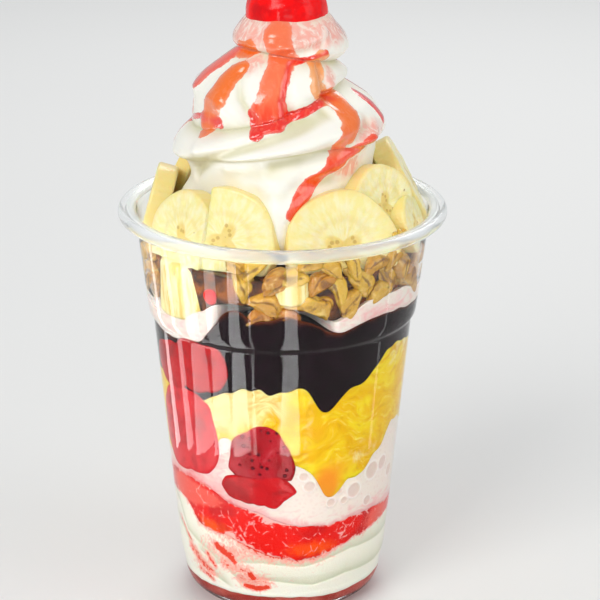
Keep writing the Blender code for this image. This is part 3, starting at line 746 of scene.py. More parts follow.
def glaze_look(settings):
    """Bright red strawberry glaze, more orange where it is thin, with pale veins."""
    look, tree = new_look(
        "strawberry_glaze", settings.glaze, 0.16, True,
        soft=(0.3, 0.003), Coat_Weight=0.5,
    )
    blotch = speckle(tree, 14.0, 2.0, 0.6)
    fine = speckle(tree, 2.4, 4.0, 1.4)
    thin = uneven(tree, painted(tree, "thin"), fine, 0.8)
    colour = mixed(tree, between(tree, thin, 0.2, 0.9), settings.glaze, srgb(255, 84, 10))
    colour = mixed(tree, between(tree, blotch, 0.52, 0.68, 0, 0.8), colour, srgb(200, 18, 22))
    coral = uneven(tree, painted(tree, "coral"), fine, 0.5)
    colour = mixed(tree, between(tree, coral, 0.3, 0.7), colour, srgb(244, 92, 76))
    veins = cells(tree, 3.6, place_of(tree, (1.0, 1.0, 0.7)))
    vein = calculate(tree, "MULTIPLY", between(tree, veins, 0.0, 0.05, 1, 0),
                     between(tree, fine, 0.52, 0.66))
    foam = uneven(tree, painted(tree, "foam"), fine, 1.6)
    pale = calculate(tree, "MAXIMUM", calculate(tree, "MULTIPLY", vein, 0.75),
                     between(tree, foam, 0.45, 0.75))
    colour = mixed(tree, pale, colour, srgb(253, 190, 180))
    return covered(look, colour, fine, 0.15)


def pink_cream_look(settings, name="pink_ice_cream", whiteness=0.25):
    """Pink and white ice cream, marbled, with painted shade inside the bubbles against the wall and
    a painted highlight round their rims.
    """
    look, tree = new_look(name, settings.pink_cream, 0.4, True, soft=(0.2, 0.003))
    grained = grain(tree, 4.0, 0.5)
    marble = speckle(tree, 9.0, 4.0, 2.2, place_of(tree, (1.0, 1.0, 2.2)))
    pink = uneven(tree, painted(tree, "pink"), marble, 1.5)
    colour = mixed(tree, between(tree, pink, whiteness, whiteness + 0.7),
                   srgb(246, 232, 220), settings.pink_cream)
    colour = mixed(tree, between(tree, pink, whiteness + 0.7, whiteness + 1.3),
                   colour, srgb(240, 130, 128))
    # Painted shade inside the bubbles, then a painted highlight round their rims.
    colour = mixed(tree, painted(tree, "bubble"), colour, srgb(214, 180, 168))
    rim = calculate(tree, "MULTIPLY", painted(tree, "bubble_rim_highlight"), 0.75)
    colour = mixed(tree, rim, colour, srgb(255, 246, 240))
    pocket = between(tree, cells(tree, 1.5, place_of(tree)), 0.12, 0.4, 0.0, 0.35)
    colour = mixed(tree, calculate(tree, "MULTIPLY", pocket, marble), colour, srgb(226, 184, 176))
    return covered(look, colour, grained.outputs["Height"], 0.2)


def upper_cream_look(settings):
    return pink_cream_look(settings, "upper_ice_cream", 0.45)


def pineapple_look(settings):
    """Crushed pineapple: golden, fibrous, paler on the left and deeper at the foot."""
    look, tree = new_look(
        "pineapple", settings.pineapple, 0.24, True,
        soft=(0.3, 0.004), Coat_Weight=0.4,
    )
    bend = add_node(
        tree, "ShaderNodeTexNoise",
        {"Vector": place_of(tree), "Scale": 1 / (13 * MM), "Detail": 2.0},
    )
    push = add_node(
        tree, "ShaderNodeVectorMath",
        {0: bend.outputs["Color"], 1: (0.022, 0.022, 0.022)}, operation="MULTIPLY",
    )
    bent = add_node(
        tree, "ShaderNodeVectorMath", {0: place_of(tree), 1: push.outputs["Vector"]},
        operation="ADD",
    )
    flow = add_node(
        tree, "ShaderNodeMapping", {"Vector": bent.outputs["Vector"], "Scale": (0.5, 0.5, 1.7)}
    ).outputs["Vector"]
    warp = speckle(tree, 9.0, 3.0, 0.8, flow)
    fibres = speckle(tree, 1.9, 5.0, 0.5, flow, 0.6)
    broad = speckle(tree, 6.0, 3.0, 1.0)
    pale = uneven(tree, painted(tree, "pale"), broad, 1.5)
    golden = mixed(tree, between(tree, warp, 0.35, 0.65), settings.pineapple, srgb(250, 220, 30))
    golden = mixed(tree, between(tree, fibres, 0.3, 0.48, 0.5, 0.0), golden, srgb(214, 152, 4))
    golden = mixed(tree, between(tree, fibres, 0.54, 0.72, 0.0, 0.8), golden, srgb(255, 232, 100))
    straw = mixed(tree, between(tree, fibres, 0.32, 0.6), srgb(238, 198, 110), srgb(252, 232, 160))
    colour = mixed(tree, between(tree, pale, 0.25, 0.75), golden, straw)
    colour = mixed(tree, between(tree, painted(tree, "amber"), 0.2, 0.8),
                   colour, srgb(250, 156, 36))
    return covered(look, colour, fibres, 0.2)


def fudge_look(settings):
    """Dark fudge: nearly black, browner where it is thin."""
    look, tree = new_look("hot_fudge", settings.fudge, 0.16, True)
    blotch = speckle(tree, 7.0, 3.0, 0.8)
    fine = speckle(tree, 0.9, 3.0)
    thin = uneven(tree, painted(tree, "thin"), blotch, 1.0)
    colour = mixed(tree, between(tree, blotch, 0.4, 0.7), settings.fudge, srgb(30, 13, 22))
    colour = mixed(tree, between(tree, thin, 0.3, 0.9), colour, srgb(92, 38, 14))
    colour = mixed(tree, between(tree, fine, 0.68, 0.8, 0, 0.14), colour, srgb(110, 80, 84))
    return covered(look, colour, blotch, 0.3)


def base_syrup_look(settings):
    look, tree = new_look("base_syrup", settings.base_syrup, 0.18, True, soft=(0.2, 0.003))
    blotch = speckle(tree, 8.0, 3.0, 0.8)
    colour = mixed(tree, between(tree, blotch, 0.35, 0.7), settings.base_syrup,
                   srgb(208, 100, 88))
    return covered(look, colour, blotch, 0.2)


def strawberry_look(name, colour, seeds):
    """Strawberry flesh and skin, with dark seeds in their pits where the skin shows."""
    look, tree = new_look(name, srgb(*colour), 0.2, True, soft=(0.3, 0.003), Coat_Weight=0.5)
    deep = tuple(int(value * share) for value, share in zip(colour, (0.84, 0.55, 0.62)))
    pale = tuple(min(255, int(value + extra)) for value, extra in zip(colour, (26, 62, 58)))
    blotch = speckle(tree, 7.0, 3.0, 0.6)
    fine = speckle(tree, 1.2, 4.0, 0.5)
    tone = mixed(tree, between(tree, blotch, 0.3, 0.55), srgb(*deep), srgb(*colour))
    tone = mixed(tree, between(tree, blotch, 0.58, 0.8, 0.0, 0.7), tone, srgb(*pale))
    pit = between(tree, cells(tree, 2.5, place_of(tree), 0.55, "F1"), 0.16, 0.3, 1.0, 0.0)
    tone = mixed(tree, calculate(tree, "MULTIPLY", pit, seeds), tone, srgb(96, 12, 26))
    tone = mixed(tree, between(tree, fine, 0.62, 0.8, 0.0, 0.35), tone, srgb(*pale))
    height = calculate(tree, "SUBTRACT", calculate(tree, "MULTIPLY", fine, 0.3),
                       calculate(tree, "MULTIPLY", pit, 0.7 * seeds))
    return covered(look, tone, height, 0.4)


def banana_slice_look(settings):
    """A cut banana: pale flesh, a three-lobed core with dark seeds, a firmer edge."""
    look, tree = new_look(
        "banana_slice", settings.banana, 0.34, soft=(0.3, 0.004),
        Coat_Weight=0.25,
    )
    away = painted(tree, "away")
    seed = painted(tree, "seed")
    blotch = speckle(tree, 5.0, 3.0, 0.4)
    fine = speckle(tree, 0.7, 4.0)
    rays = add_node(
        tree, "ShaderNodeTexNoise",
        {"Vector": painted(tree, "rays", "Vector"), "Scale": 7.0, "Detail": 4.0},
    ).outputs["Fac"]
    flesh = mixed(tree, between(tree, rays, 0.35, 0.7), settings.banana, srgb(255, 244, 196))
    edge = between(tree, away, 0.84, 1.0)
    flesh = mixed(tree, calculate(tree, "MULTIPLY", edge, 0.55), flesh, srgb(246, 220, 130))
    ring = calculate(tree, "MULTIPLY", between(tree, away, 0.42, 0.5),
                     between(tree, away, 0.62, 0.52))
    flesh = mixed(tree, calculate(tree, "MULTIPLY", ring, 0.3), flesh, srgb(238, 214, 136))
    core = uneven(tree, painted(tree, "core"), rays, 0.5)
    flesh = mixed(tree, between(tree, core, 0.3, 0.9, 0.0, 0.7), flesh, srgb(236, 204, 96))
    flesh = mixed(tree, between(tree, seed, 0.3, 0.8, 0.0, 0.55), flesh, srgb(190, 146, 50))
    flesh = mixed(tree, between(tree, blotch, 0.66, 0.8, 0.0, 0.4), flesh, srgb(236, 206, 120))
    specks = speckle(tree, 2.6, 2.0)
    flesh = mixed(tree, between(tree, specks, 0.76, 0.8, 0.0, 0.6), flesh, srgb(150, 96, 30))
    rim = between(tree, painted(tree, "side"), 0.3, 0.8)
    flesh = mixed(tree, calculate(tree, "MULTIPLY", rim, 0.5), flesh, srgb(250, 226, 140))
    height = calculate(tree, "ADD", calculate(tree, "MULTIPLY", rays, 0.6),
                       calculate(tree, "MULTIPLY", fine, 0.4))
    return covered(look, flesh, height, 0.35)


def banana_chunk_look(settings):
    """Banana against the wall, with upright fibres."""
    look, tree = new_look(
        "banana_chunk", settings.banana, 0.3, True, soft=(0.3, 0.004),
        Coat_Weight=0.3,
    )
    fibres = speckle(tree, 1.7, 4.0, 0.4, place_of(tree, (1.0, 1.0, 0.16)))
    blotch = speckle(tree, 5.0, 3.0, 0.5)
    specks = speckle(tree, 3.2, 2.0)
    flesh = mixed(tree, between(tree, fibres, 0.35, 0.62), srgb(238, 208, 122), srgb(254, 240, 184))
    flesh = mixed(tree, between(tree, blotch, 0.55, 0.8, 0.0, 0.5), flesh, srgb(236, 196, 96))
    flesh = mixed(tree, between(tree, specks, 0.7, 0.76, 0.0, 0.6), flesh, srgb(196, 140, 60))
    return covered(look, flesh, fibres, 0.5)


def walnut_look(settings):
    """Walnut pieces in caramel syrup: amber on the ridges, with painted shade dark in the hollows.
    """
    look, tree = new_look("walnut", settings.walnut, 0.18, soft=(0.15, 0.002), Coat_Weight=0.8)
    hollow_shade = painted(tree, "hollow_shade")
    tone = painted(tree, "tone")
    fine = speckle(tree, 0.9, 4.0, 0.8)
    blotch = speckle(tree, 3.5, 3.0, 0.8)
    hollow_shade_uneven = uneven(tree, hollow_shade, fine, 0.5)
    amber = mixed(tree, tone, settings.walnut, srgb(178, 104, 22))
    amber = mixed(tree, between(tree, blotch, 0.5, 0.72, 0.0, 0.6), amber, srgb(248, 214, 120))
    # Painted shade in the furrows, added to darker blotches that fall at random.
    shade_and_blotch = calculate(tree, "ADD", between(tree, hollow_shade_uneven, 0.4, 1.0, 0.0, 0.7),
                      between(tree, blotch, 0.46, 0.3, 0.0, 0.7))
    colour = mixed(tree, shade_and_blotch, amber, srgb(104, 54, 6))
    return covered(look, colour, fine, 0.3)


def dark_syrup_look(settings):
    """The dark syrup that lies between and behind the nuts."""
    look, tree = new_look("dark_syrup", srgb(60, 26, 6), 0.14)
    blotch = speckle(tree, 6.0, 3.0, 0.8)
    colour = mixed(tree, between(tree, blotch, 0.4, 0.7), srgb(58, 24, 4), srgb(150, 78, 10))
    return covered(look, colour, blotch, 0.5)


def cherry_look(settings):
    """A preserved cherry: pure red, with thin pale streaks in its skin."""
    look, tree = new_look(
        "cherry", settings.cherry, 0.2, soft=(0.2, 0.003),
        Specular_IOR_Level=0.25,
    )
    streaks = speckle(tree, 1.4, 3.0, 0.4, place_of(tree, (1.0, 1.0, 0.12)))
    blotch = speckle(tree, 6.0, 3.0, 0.6)
    colour = mixed(tree, between(tree, blotch, 0.4, 0.7), settings.cherry, srgb(214, 0, 10))
    colour = mixed(tree, between(tree, streaks, 0.69, 0.8, 0.0, 0.75), colour, srgb(255, 150, 150))
    return covered(look, colour, streaks, 0.12)


def floor_look(settings):
    look, tree = new_look("pale_floor", settings.floor, 0.6)
    blotch = speckle(tree, 300.0, 2.0)
    colour = mixed(tree, between(tree, blotch, 0.3, 0.7, 0.0, 0.12), settings.floor,
                   srgb(226, 224, 220))
    tree.links.new(colour, shader_of(look).inputs["Base Color"])
    return look


# Pieces


def make_layer(name, bottom, top, reach=whole_reach, sides=40, caps=12, steps=400, relief=None):
    """One layer of the contents between two surfaces, reaching just into the cup's wall."""
    inward = 1.0 - (1.0 - np.linspace(0.0, 1.0, caps + 1)[:-1]) ** 1.6
    shares = np.concatenate([inward, np.ones(sides), inward[::-1]])
    positions = np.concatenate([np.zeros(caps), np.linspace(0.0, 1.0, sides), np.ones(caps)])

    def place(azimuth, ring):
        share = shares[ring] * reach(azimuth)
        high = top(azimuth, share) - SEAM / 2
        low = bottom(azimuth, share) + SEAM / 2
        height = high + (low - high) * positions[ring]
        bite = BITE + (relief(azimuth, height) if relief else 0.0)
        return polar(azimuth, share * (wall_radius(height) + bite), height)

    return shaped_sphere(name, steps, len(shares) - 1, place)


def wall_coordinates(piece):
    """Azimuth, height and radius of each vertex, in degrees and millimetres."""
    corners = corners_of(piece) / MM
    azimuth = np.degrees(np.arctan2(corners[:, 0], -corners[:, 1]))
    return azimuth, corners[:, 2], np.hypot(corners[:, 0], corners[:, 1])


def spot(azimuth, height, centre, level, wide, tall):
    """1 in the middle of an oval spot on the wall, 0 well outside it."""
    across = turn_between(azimuth, centre) / wide
    return np.exp(-(across**2) - ((height - level) / tall) ** 2)


def spots(azimuth, height, *places):
    """Several spots added up, each given as (strength, azimuth, height, width, tallness)."""
    return sum(strength * spot(azimuth, height, *place) for strength, *place in places)


def press_to_wall(piece, bite=FRUIT_BITE):
    """Flattens what would pass through the cup's wall just inside it."""
    corners = corners_of(piece) / MM
    radius = np.hypot(corners[:, 0], corners[:, 1])
    limit = wall_radius(corners[:, 2]) + bite
    share = np.where(radius > limit, limit / np.maximum(radius, 1e-6), 1.0)
    corners[:, 0] *= share
    corners[:, 1] *= share
    set_corners(piece, corners * MM)


def cup_profile():
    """The cup's section from the floor up the inside, over the rim and down the outside."""
    flare = (NECK_RADIUS - WALL + RIM_FLARE, NECK_HEIGHT)
    bead = (RIM_RADIUS - BEAD_RADIUS, CUP_HEIGHT - BEAD_RADIUS)
    under = bead[0] - BEAD_LIP
    inner = []
    for (radius, height), after in zip(inner_line()[11:-1], inner_line()[12:]):
        inner.append((radius, height))
        middle = ((radius + after[0]) / 2, (height + after[1]) / 2)
        inner.append(middle)
    profile = [(0.0, FLOOR_TOP)] + inner_line()[:11] + inner
    profile += arc(flare, RIM_FLARE, RIM_FLARE, 180, 90, 8)[1:]
    profile += [(bead[0] - 1.6, CUP_HEIGHT - 0.25), (bead[0] - 0.7, CUP_HEIGHT - 0.25)]
    profile += arc(bead, BEAD_RADIUS, BEAD_RADIUS, 90, -90, 14)
    profile += [(under, bead[1] - BEAD_LIP), (under, CUP_HEIGHT - WALL)]
    profile += arc(flare, RIM_FLARE - WALL, RIM_FLARE - WALL, 90, 180, 6)
    profile += [(radius, height) for height, radius in (*STEP_OUTSIDE, WALL_LINE[0])]
    profile += arc((FOOT_RADIUS, CORNER_HEIGHT), CORNER_WIDTH, CORNER_HEIGHT, 0, -90, 10)
    profile += [(FOOT_INNER_RADIUS, 0.0), (RECESS_RADIUS, RECESS_HEIGHT), (0.0, RECESS_HEIGHT)]
    return profile


def make_cup(settings):
    deselect()
    profile = cup_profile()
    bpy.ops.mesh.primitive_circle_add(vertices=len(profile), radius=1.0, fill_type="NOTHING")
    cup = rename(bpy.context.object, "clear_cup")
    bm = bmesh.new()
    bm.from_mesh(cup.data)
    bm.verts.ensure_lookup_table()
    for vertex, (radius, height) in zip(bm.verts, profile):
        vertex.co = (radius * MM, 0.0, height * MM)
    closing = bm.edges.get((bm.verts[-1], bm.verts[0]))
    bm.edges.remove(closing)
    bm.to_mesh(cup.data)
    bm.free()
    select_only(cup)
    bpy.ops.object.mode_set(mode="EDIT")
    bpy.ops.mesh.select_all(action="SELECT")
    bpy.ops.mesh.spin(
        steps=settings.cup_steps, angle=2 * math.pi, center=(0, 0, 0), axis=(0, 0, 1), dupli=False
    )
    bpy.ops.mesh.select_all(action="SELECT")
    bpy.ops.mesh.remove_doubles(threshold=0.00002)
    bpy.ops.object.mode_set(mode="OBJECT")
    face_outwards(cup)
    select_only(cup)
    bpy.ops.object.shade_smooth_by_angle(angle=math.radians(38))
    return cup, split_rim(cup)


def split_rim(cup):
    """Takes the rim off the cup's mesh, since it is frostier than the wall."""
    bpy.ops.object.mode_set(mode="EDIT")
    bpy.ops.mesh.select_mode(type="VERT")
    bpy.ops.mesh.select_all(action="DESELECT")
    bpy.ops.object.mode_set(mode="OBJECT")
    _, height, radius = wall_coordinates(cup)
    chosen = (radius > NECK_RADIUS + 0.2) & (height > NECK_HEIGHT)
    cup.data.vertices.foreach_set("select", chosen)
    bpy.ops.object.mode_set(mode="EDIT")
    bpy.ops.mesh.separate(type="SELECTED")
    bpy.ops.object.mode_set(mode="OBJECT")
    rim = next(piece for piece in bpy.context.selected_objects if piece != cup)
    return rename(rim, "cup_rim")


# Creases of the lower soft serve: reach of their shade, then (azimuth, height) along each
CREAM_CREASES = (
    (2.8, (100, 22), (68, 19.9), (39, 20.7), (12, 17.3), (-11, 18.6), (-28, 17.5),
     (-40, 15), (-56, 19)),
    (3.0, (110, 15), (65, 11.7), (37, 12.5), (17, 10.5), (-1, 12.2), (-12, 12.7), (-24, 10.6)),
    (2.2, (-95, 36), (-71, 30.1), (-63, 22.4), (-45, 18.8), (-33, 15.3), (-24, 10.4), (-12, 7.9)),
    (2.4, (-95, 28), (-70, 21.9), (-57, 15.3), (-42, 10.7), (-28, 7.5)),
    (2.6, (100, 16), (130, 20), (170, 19), (200, 14), (240, 17)),
    (2.6, (110, 10), (150, 12), (190, 9), (230, 12), (265, 20)),
)


def fold_shade(azimuth, height):
    """1 in a crease of the lower soft serve, with its shade on the side above it."""
    shade = np.zeros(np.broadcast(azimuth, height).shape)
    for reach, *line in CREAM_CREASES:
        azimuths, levels = zip(*sorted(line))
        around = np.where(azimuth < azimuths[0], azimuth + 360.0, azimuth)
        level = np.interp(around, azimuths, levels)
        inside = smooth_step(around, azimuths[0], azimuths[0] + 8.0)
        inside = inside * smooth_step(around, azimuths[-1], azimuths[-1] - 8.0)
        above = height - level
        dark = np.where(above > 0, np.exp(-above / reach), np.exp(above / 0.25))
        shade = np.maximum(shade, dark * inside)
    return shade


# Red smears in the lower soft serve: strength, reach, then (azimuth, height) along each
CREAM_STAINS = (
    (0.72, 2.2, (-60, 17), (-51, 13.6), (-44, 11.4)), (0.8, 1.0, (-38, 22), (-32, 19.6)),
    (0.9, 1.1, (-30, 19), (-27, 17.4)), (1.05, 1.3, (-18, 14.2), (-16.4, 13)),
    (1.05, 1.3, (-21, 9.8), (-14, 9.3), (-9, 10.2)), (0.6, 1.0, (-72, 25), (-60, 19)),
    (0.72, 1.3, (-54, 11), (-44, 9)), (0.6, 2.4, (-34, 16), (-20, 15)),
    (0.66, 1.2, (-46, 17.4), (-40, 14)), (0.6, 3.0, (-24, 12), (-10, 12)),
)


def make_base_syrup(settings):
    return make_layer("syrup", floor_height, BASE_SYRUP_TOP, sides=16)


def make_lower_cream(settings):
    def relief(azimuth, height):
        return 0.28 * (1.0 - np.clip(fold_shade(azimuth, height), 0.0, 1.0))

    piece = make_layer(
        "lower_cream", BASE_SYRUP_TOP, LOWER_CREAM_TOP, sides=60, relief=relief
    )
    azimuth, height, radius = wall_coordinates(piece)
    # Painted shade in the creases, on the side above each, for the material; the relief above
    # shapes the grooves themselves.
    paint(piece, "fold", np.clip(fold_shade(azimuth, height), 0, 1) * 0.8)
    stain = 0.5 * spot(azimuth, height, -50, 13, 12.0, 4.5)
    for strength, reach, *line in CREAM_STAINS:
        gap = run_share(azimuth, radius, height, line) / reach
        stain = np.maximum(stain, strength * np.exp(-(gap**2)))
    under_glaze = LOWER_CREAM_TOP(azimuth, 1.0) - height
    front = 0.3 + 0.7 * np.exp(-((turn_between(azimuth, -5) / 40) ** 2))
    stain += 0.75 * np.exp(-under_glaze / 2.0) * front
    stain += spots(
        azimuth, height, (0.5, -32, 21, 18.0, 3.0), (0.5, 150, 16, 14, 4), (0.6, -130, 12, 12, 3)
    )
    paint(piece, "stain", stain)
    return piece


def make_glaze(settings):
    piece = make_layer("glaze", LOWER_CREAM_TOP, GLAZE_TOP, sides=28)
    azimuth, height, _ = wall_coordinates(piece)
    thin = spots(
        azimuth, height, (1.0, -40, 27.6, 14, 3.0), (0.9, 16, 23, 16, 3.2), (0.7, 120, 27, 20, 4),
        (0.7, -150, 28, 20, 4),
    )
    coral = spots(
        azimuth, height, (1.1, -62, 37, 14, 5), (1.0, 62, 27, 14, 5), (0.8, -44, 37, 16, 3),
        (0.8, 170, 30, 30, 6),
    )
    above = GLAZE_TOP(azimuth, 1.0) - height
    below = height - LOWER_CREAM_TOP(azimuth, 1.0)
    foam = 0.6 * np.exp(-above / 1.0) + 0.75 * np.exp(-below / 1.2)
    foam += spots(
        azimuth, height, (0.6, -8, 33, 9, 3.4), (0.6, 34, 27, 5, 3.0), (0.45, -24, 28, 7, 4.0)
    )
    paint(piece, "thin", thin)
    paint(piece, "coral", coral)
    paint(piece, "foam", foam)
    return piece


# Bubbles against the wall in the pink ice cream: azimuth, height, radius
BUBBLES = (
    (38.9, 40.5, 2.6), (51.0, 44.9, 3.0), (60.1, 45.6, 2.4), (13.5, 44.6, 1.9), (10.4, 48.0, 1.5),
    (49.3, 35.2, 1.7), (25.4, 38.1, 1.5), (33.0, 38.0, 1.3), (70.0, 41.0, 2.2), (30.0, 41.4, 1.0),
)
WALL_RADIUS_AT_BUBBLES = 34.0


def bubble_shares(azimuth, height):
    """For each bubble, how far each place is from its middle, as a share of its radius."""
    for centre, level, size in BUBBLES:
        across = np.radians(turn_between(azimuth, centre)) * WALL_RADIUS_AT_BUBBLES
        yield np.hypot(across, height - level) / size


def make_pink_cream(settings):
    def relief(azimuth, height):
        dent = np.zeros_like(azimuth)
        for away in bubble_shares(azimuth, height):
            dent += 0.3 * np.exp(-(((away - 1.0) / 0.22) ** 2))
        return dent

    piece = make_layer(
        "pink_cream", GLAZE_TOP, PINK_CREAM_TOP, sides=56, steps=600, relief=relief
    )
    azimuth, height, _ = wall_coordinates(piece)
    # Painted shade inside each bubble and a painted highlight along its rim, for the material.
    bubble = np.zeros_like(azimuth)
    rim = np.zeros_like(azimuth)
    for away in bubble_shares(azimuth, height):
        bubble = np.maximum(bubble, 0.45 * smooth_step(away, 1.0, 0.85))
        rim = np.maximum(rim, np.exp(-(((away - 1.0) / 0.12) ** 2)))
    paint(piece, "bubble", bubble)
    paint(piece, "bubble_rim_highlight", rim)
    above_glaze = height - GLAZE_TOP(azimuth, 1.0)
    pink = 0.9 * np.exp(-above_glaze / 2.2)
    pink += 0.7 * np.exp(-((turn_between(azimuth, -50) / 40) ** 2))
    pink += 0.3 * spot(azimuth, height, 60, 34, 20, 4)
    paint(piece, "pink", pink)
    return piece


def make_pineapple(settings):
    def relief(azimuth, height):
        points = polar(azimuth, 38.0, height)
        return 0.12 + 0.16 * np.clip(waves(points, 7.0, 21), -0.7, 0.7)

    piece = make_layer("pineapple", PINK_CREAM_TOP, PINEAPPLE_TOP, sides=60, relief=relief)
    azimuth, height, _ = wall_coordinates(piece)
    pale = spots(
        azimuth, height, (0.95, -28, 68, 24, 9), (0.5, -5, 73, 12, 5), (0.5, 66, 83, 12, 8),
        (0.3, 6, 58, 8, 8), (0.8, -150, 66, 30, 8), (0.5, 40, 52, 14, 3.0),
    )
    amber = spots(
        azimuth, height, (0.9, 22, 43, 8, 6), (0.4, 30, 50, 16, 5), (0.35, 15, 62, 12, 5)
    )
    paint(piece, "pale", pale)
    paint(piece, "amber", amber)
    return piece


def make_fudge(settings):
    def relief(azimuth, height):
        points = polar(azimuth, 38.0, height)
        return 0.1 + 0.1 * np.clip(waves(points, 9.0, 31), -0.8, 0.8)

    piece = make_layer("fudge", PINEAPPLE_TOP, FUDGE_TOP, sides=44, relief=relief)
    azimuth, height, _ = wall_coordinates(piece)
    above = FUDGE_TOP(azimuth, 1.0) - height
    below = height - PINEAPPLE_TOP(azimuth, 1.0)
    thin = 0.75 * np.exp(-above / 1.6) + 0.5 * np.exp(-below / 0.8)
    thin += 0.35 * spot(azimuth, height, -12, 101, 12, 3)
    paint(piece, "thin", thin)
    return piece


def make_upper_cream(settings):
    """The pink and white ice cream above the step, which leaves the front to the nuts."""
    piece = make_layer(
        "upper_cream", upper_cream_bottom, UPPER_CREAM_TOP, reach=upper_cream_reach, sides=24
    )
    azimuth, height, _ = wall_coordinates(piece)
    paint(piece, "bubble", np.zeros(len(azimuth)))
    paint(piece, "bubble_rim_highlight", np.zeros(len(azimuth)))
    paint(piece, "pink", 0.55 + 0.4 * spot(azimuth, height, 46, 98, 16, 2.0))
    return piece


def make_strawberry(name):
    """A strawberry that lies against the wall along its outline and is round behind it."""
    _, _, depth, outline = STRAWBERRIES[name]
    points = np.array(outline, float)
    middle = points.mean(axis=0)
    across = (points[:, 0] - middle[0]) * BERRY_DEGREE
    up = points[:, 1] - middle[1]
    reaches = sorted(zip(np.degrees(np.arctan2(up, across)), np.hypot(across, up)))
    rings = 90
    front = 0.6

    def place(around, ring):
        share = ring / rings
        behind = np.clip((share - front) / (1 - front), 0, 1)
        out = np.where(share < front, share / front, np.cos(behind * math.pi / 2))
        edge = BERRY_EDGE * np.minimum(share / front, 1.0) ** 26
        inward = edge + (depth - BERRY_EDGE) * np.sin(behind * math.pi / 2)
        reach = follow(reaches, around) * out
        angle = np.radians(around)
        azimuth = middle[0] + reach * np.cos(angle) / BERRY_DEGREE
        height = middle[1] + reach * np.sin(angle)
        flat = np.stack([azimuth * BERRY_DEGREE, height, np.full_like(height, depth)], axis=1)
        lumps = 0.05 * waves(flat, 5.0, len(outline) + int(depth))
        return polar(azimuth, wall_radius(height) + FRUIT_BITE + lumps - inward, height)

    piece = shaped_sphere(name + "_fine", 160, rings, place)
    face_outwards(piece)
    return piece


def make_banana_chunk(name):
    azimuth, radius, height, (wide, long) = BANANA_CHUNKS[name]
    rings = 60

    def place(around, ring):
        share = ring / rings
        profile_radius, profile_height = rounded_disc(share, wide, long / 2, 1.6)
        ribs = 1.0 + 0.012 * np.cos(np.radians(around) * 5)
        ribs += 0.006 * np.cos(np.radians(around) * 13)
        return polar(around, profile_radius * ribs, profile_height)

    piece = shaped_sphere(name + "_fine", 120, rings, place)
    piece.data.transform(Matrix.Translation(Vector(polar(azimuth, radius, height) * MM)))
    press_to_wall(piece)
    return piece


def rounded_disc(share, wide, half, edge):
    """Radius and height along a disc's section with rounded edges, from top to bottom middle."""
    corner = edge * math.pi / 2
    lengths = np.array([wide - edge, corner, 2 * (half - edge), corner, wide - edge])
    ends = np.concatenate([[0.0], np.cumsum(lengths)])
    way = share * ends[-1]
    number = np.clip(np.searchsorted(ends, way, side="right") - 1, 0, 4)
    along = (way - ends[number]) / lengths[number]
    turn = along * math.pi / 2
    radius = np.choose(number, [
        along * (wide - edge), wide - edge + edge * np.sin(turn), np.full_like(along, wide),
        wide - edge + edge * np.cos(turn), (1 - along) * (wide - edge),
    ])
    height = np.choose(number, [
        np.full_like(along, half), half - edge + edge * np.cos(turn),
        (half - edge) * (1 - 2 * along), -(half - edge) - edge * np.sin(turn),
        np.full_like(along, -half),
    ])
    return radius, height


def make_banana_slice(name, settings):
    """A slice that faces some azimuth, leans back and stands on the nuts."""
    azimuth, radius, height, wide, facing, lean = BANANA_SLICES[name]
    rings, steps = 84, 144
    half = settings.slice_thickness / 2
    seed = abs(int(azimuth))
    rounded = {}

    def place(around, ring):
        across, up = rounded_disc(ring / rings, wide, half, 0.8)
        angle = np.radians(around)
        uneven = 1.0 + 0.02 * np.sin(5 * angle + azimuth) + 0.015 * np.sin(2 * angle)
        points = polar(around, across * uneven, up)
        flat = points.copy()
        flat[:, 2] = 0.0
        dent = 0.10 * waves(flat, 3.2, seed) * np.clip(2.0 - across / wide * 1.6, 0, 1)
        points[:, 2] += np.sign(up) * dent * (np.abs(up) > half * 0.9)
        rounded["share"] = across / wide
        rounded["around"] = around
        rounded["up"] = up / half
        return points

    piece = shaped_sphere(name + "_fine", steps, rings, place)
    share, around = rounded["share"], np.radians(rounded["around"])
    lobes = 0.30 + 0.13 * np.cos(3 * around + 0.5 + seed)
    paint(piece, "core", 1.0 - smooth_step(share, lobes * 0.5, lobes * 1.25))
    seeds = np.zeros_like(share)
    for number in range(9):
        turned = 2 * math.pi * (number // 3) / 3 + (number % 3 - 1) * 0.34 - (0.5 + seed) / 3
        away = 0.16 + 0.055 * (number % 3) + 0.02 * math.sin(number * 2.3 + seed)
        gap = np.hypot(share * np.cos(around) - away * math.cos(turned),
                       share * np.sin(around) - away * math.sin(turned))
        seeds = np.maximum(seeds, smooth_step(gap, 0.055, 0.02))
    paint(piece, "seed", seeds * (np.abs(rounded["up"]) > 0.9))
    paint(piece, "side", 1.0 - smooth_step(np.abs(rounded["up"]), 0.75, 0.98))
    rays = np.stack([np.cos(around), np.sin(around), share * 0.7 + seed], axis=1)
    paint(piece, "rays", rays)
    paint(piece, "away", share)
    turn = Euler((math.radians(90 - lean), 0.0, math.radians(facing))).to_matrix().to_4x4()
    spot_at = Vector(polar(azimuth, radius, height) * MM)
    piece.data.transform(Matrix.Translation(spot_at) @ turn)
    press_to_wall(piece, -0.1)
    cut_away(piece, Vector((0, 0, (HEAP_TOP - 0.6) * MM)), Vector((0, 0, -1)))
    return piece


def cut_away(piece, point, outward):
    """Cuts off what lies beyond a plane and closes the cut."""
    select_only(piece)
    bpy.ops.object.mode_set(mode="EDIT")
    bpy.ops.mesh.select_all(action="SELECT")
    bpy.ops.mesh.bisect(plane_co=point, plane_no=outward, use_fill=True, clear_outer=True)
    bpy.ops.object.mode_set(mode="OBJECT")


def nut_shape(steps=3):
    """A plain ball of unit size, made once for all the walnut copies; make_nut gives each copy its
    lobes.
    """
    deselect()
    bpy.ops.mesh.primitive_ico_sphere_add(subdivisions=steps + 1, radius=0.5)
    return bpy.context.object


